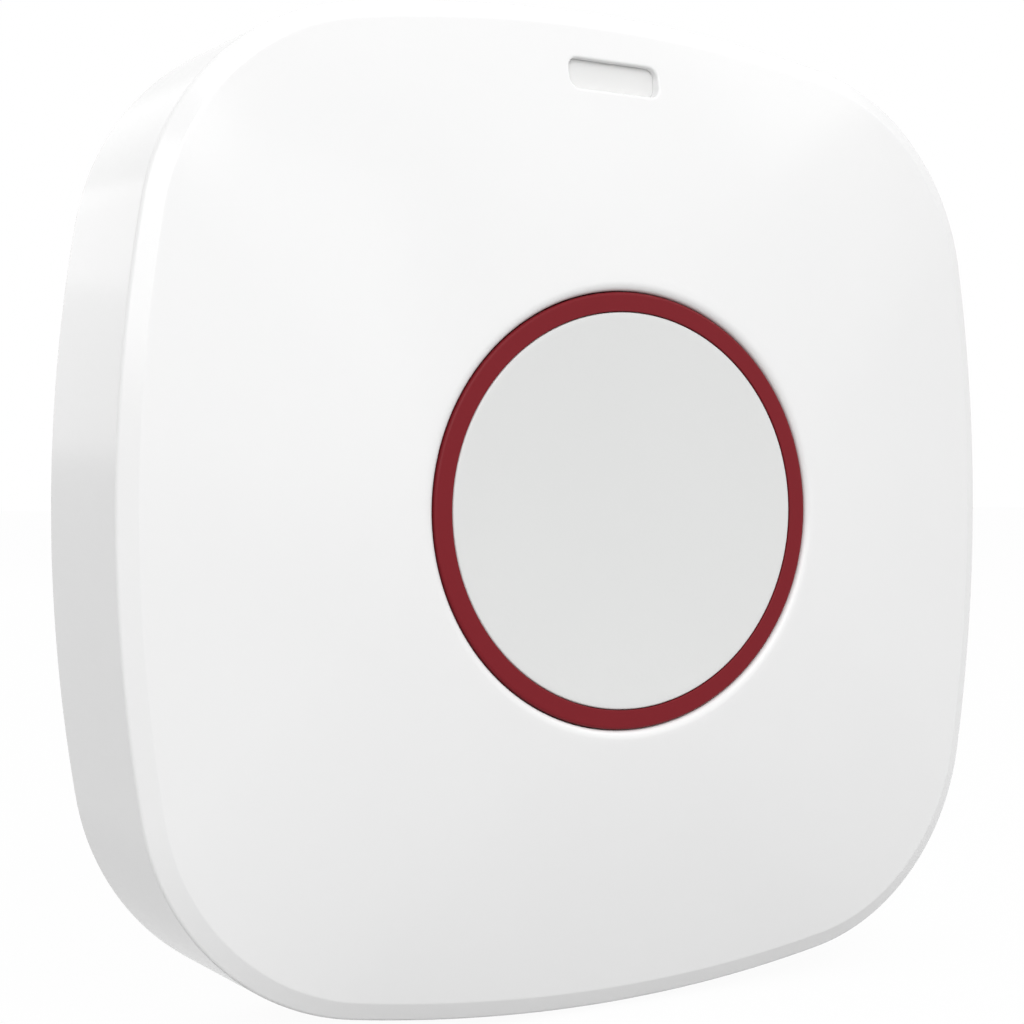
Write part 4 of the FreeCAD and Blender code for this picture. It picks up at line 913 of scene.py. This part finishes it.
floor_mesh = bpy.data.meshes.new("floor")
sides = ((-1, -1), (1, -1), (1, 1), (-1, 1))
floor_mesh.from_pydata([(x * FLOOR_REACH, y * FLOOR_REACH, FLOOR) for x, y in sides], [], [(0, 1, 2, 3)])
floor = bpy.data.objects.new("floor", floor_mesh)
bpy.context.scene.collection.objects.link(floor)
paper = bpy.data.materials.new("paper")
paper.use_nodes = True
tree = paper.node_tree
shader = tree.nodes["Principled BSDF"]
bounced = tree.nodes.new("ShaderNodeLightPath").outputs["Is Diffuse Ray"]
feed(tree, shader, {"Base Color": blend(tree, bounced, PAPER_SEEN, PAPER_BOUNCE), "Roughness": 0.9})
white_to_camera(tree, shader, tree.nodes["Material Output"], "ShaderNodeEmission", PAPER_WHITE)
floor.data.materials.append(paper)

# Studio. An even white room with seven soft boxes: three in front, the brightest above and beside the
# camera, one to the right, and three behind on the left, one above the other, that light the side wall. Each
# is given with its azimuth and elevation in degrees, width and height in metres, and power in watts.
ROOM_STRENGTH = 0.815
LAMP_DISTANCE = 0.6
world = bpy.data.worlds.new("studio")
bpy.context.scene.world = world
world.use_nodes = True
tree = world.node_tree
room = tree.nodes["Background"]
feed(tree, room, {"Color": (1, 1, 1, 1), "Strength": ROOM_STRENGTH})
white_to_camera(tree, room, tree.nodes["World Output"], "ShaderNodeBackground", 1)
for name, azimuth, elevation, width, height, power in (
    ("front", -4, 12, 0.4, 0.25, 0.24),
    ("front high", -12, 35, 0.25, 0.3, 0.72),
    ("left front", -30, 20, 0.3, 0.25, 0.65),
    ("right", 60, 38, 0.3, 0.25, 0.25),
    ("rear low", -155, 7.2, 0.56, 0.1, 0.083),
    ("rear middle", -155, 15.3, 0.56, 0.078, 0.108),
    ("rear high", -155, 27.5, 0.56, 0.178, 0.105),
):
    lamp = bpy.data.lights.new(name, "AREA")
    lamp.shape = "RECTANGLE"
    lamp.size = width
    lamp.size_y = height
    lamp.energy = power
    a, e = math.radians(azimuth), math.radians(elevation)
    made = bpy.data.objects.new(name, lamp)
    way = Vector((math.sin(a) * math.cos(e), -math.cos(a) * math.cos(e), math.sin(e)))
    made.location = way * LAMP_DISTANCE
    made.rotation_euler = (-made.location).to_track_quat("-Z", "Y").to_euler()
    bpy.context.scene.collection.objects.link(made)

# Camera. Close by, level with the middle of the button and well to its left. Its turn, aim, distance, focal
# length and shift come from a fit to points read off the photo.
CAMERA_TURN = (-31.824, 0.571, 0.094)
CAMERA_AIM = Vector((0.000036, -0.012592, 0))
CAMERA_DISTANCE = 0.11945
PICTURE_WIDTH = 1024
SENSOR_WIDTH = 36
FOCAL_PIXELS = 1882.2
SHIFT_PIXELS = (-97.2, -1.363)
azimuth, elevation, roll = (math.radians(angle) for angle in CAMERA_TURN)
level = math.cos(elevation)
backwards = Vector((math.sin(azimuth) * level, -math.cos(azimuth) * level, math.sin(elevation)))
sideways = Vector((math.cos(azimuth), math.sin(azimuth), 0))
upwards = backwards.cross(sideways)
right = sideways * math.cos(roll) + upwards * math.sin(roll)
above = upwards * math.cos(roll) - sideways * math.sin(roll)
turn = Matrix((right, above, backwards)).transposed().to_4x4()
camera = bpy.data.objects.new("camera", bpy.data.cameras.new("camera"))
camera.matrix_world = Matrix.Translation(CAMERA_AIM + backwards * CAMERA_DISTANCE) @ turn
camera.data.lens = FOCAL_PIXELS / PICTURE_WIDTH * SENSOR_WIDTH
camera.data.shift_x, camera.data.shift_y = (pixels / PICTURE_WIDTH for pixels in SHIFT_PIXELS)
camera.data.clip_start = 0.001
bpy.context.scene.collection.objects.link(camera)
bpy.context.scene.camera = camera
bpy.context.scene.view_settings.view_transform = "Standard"
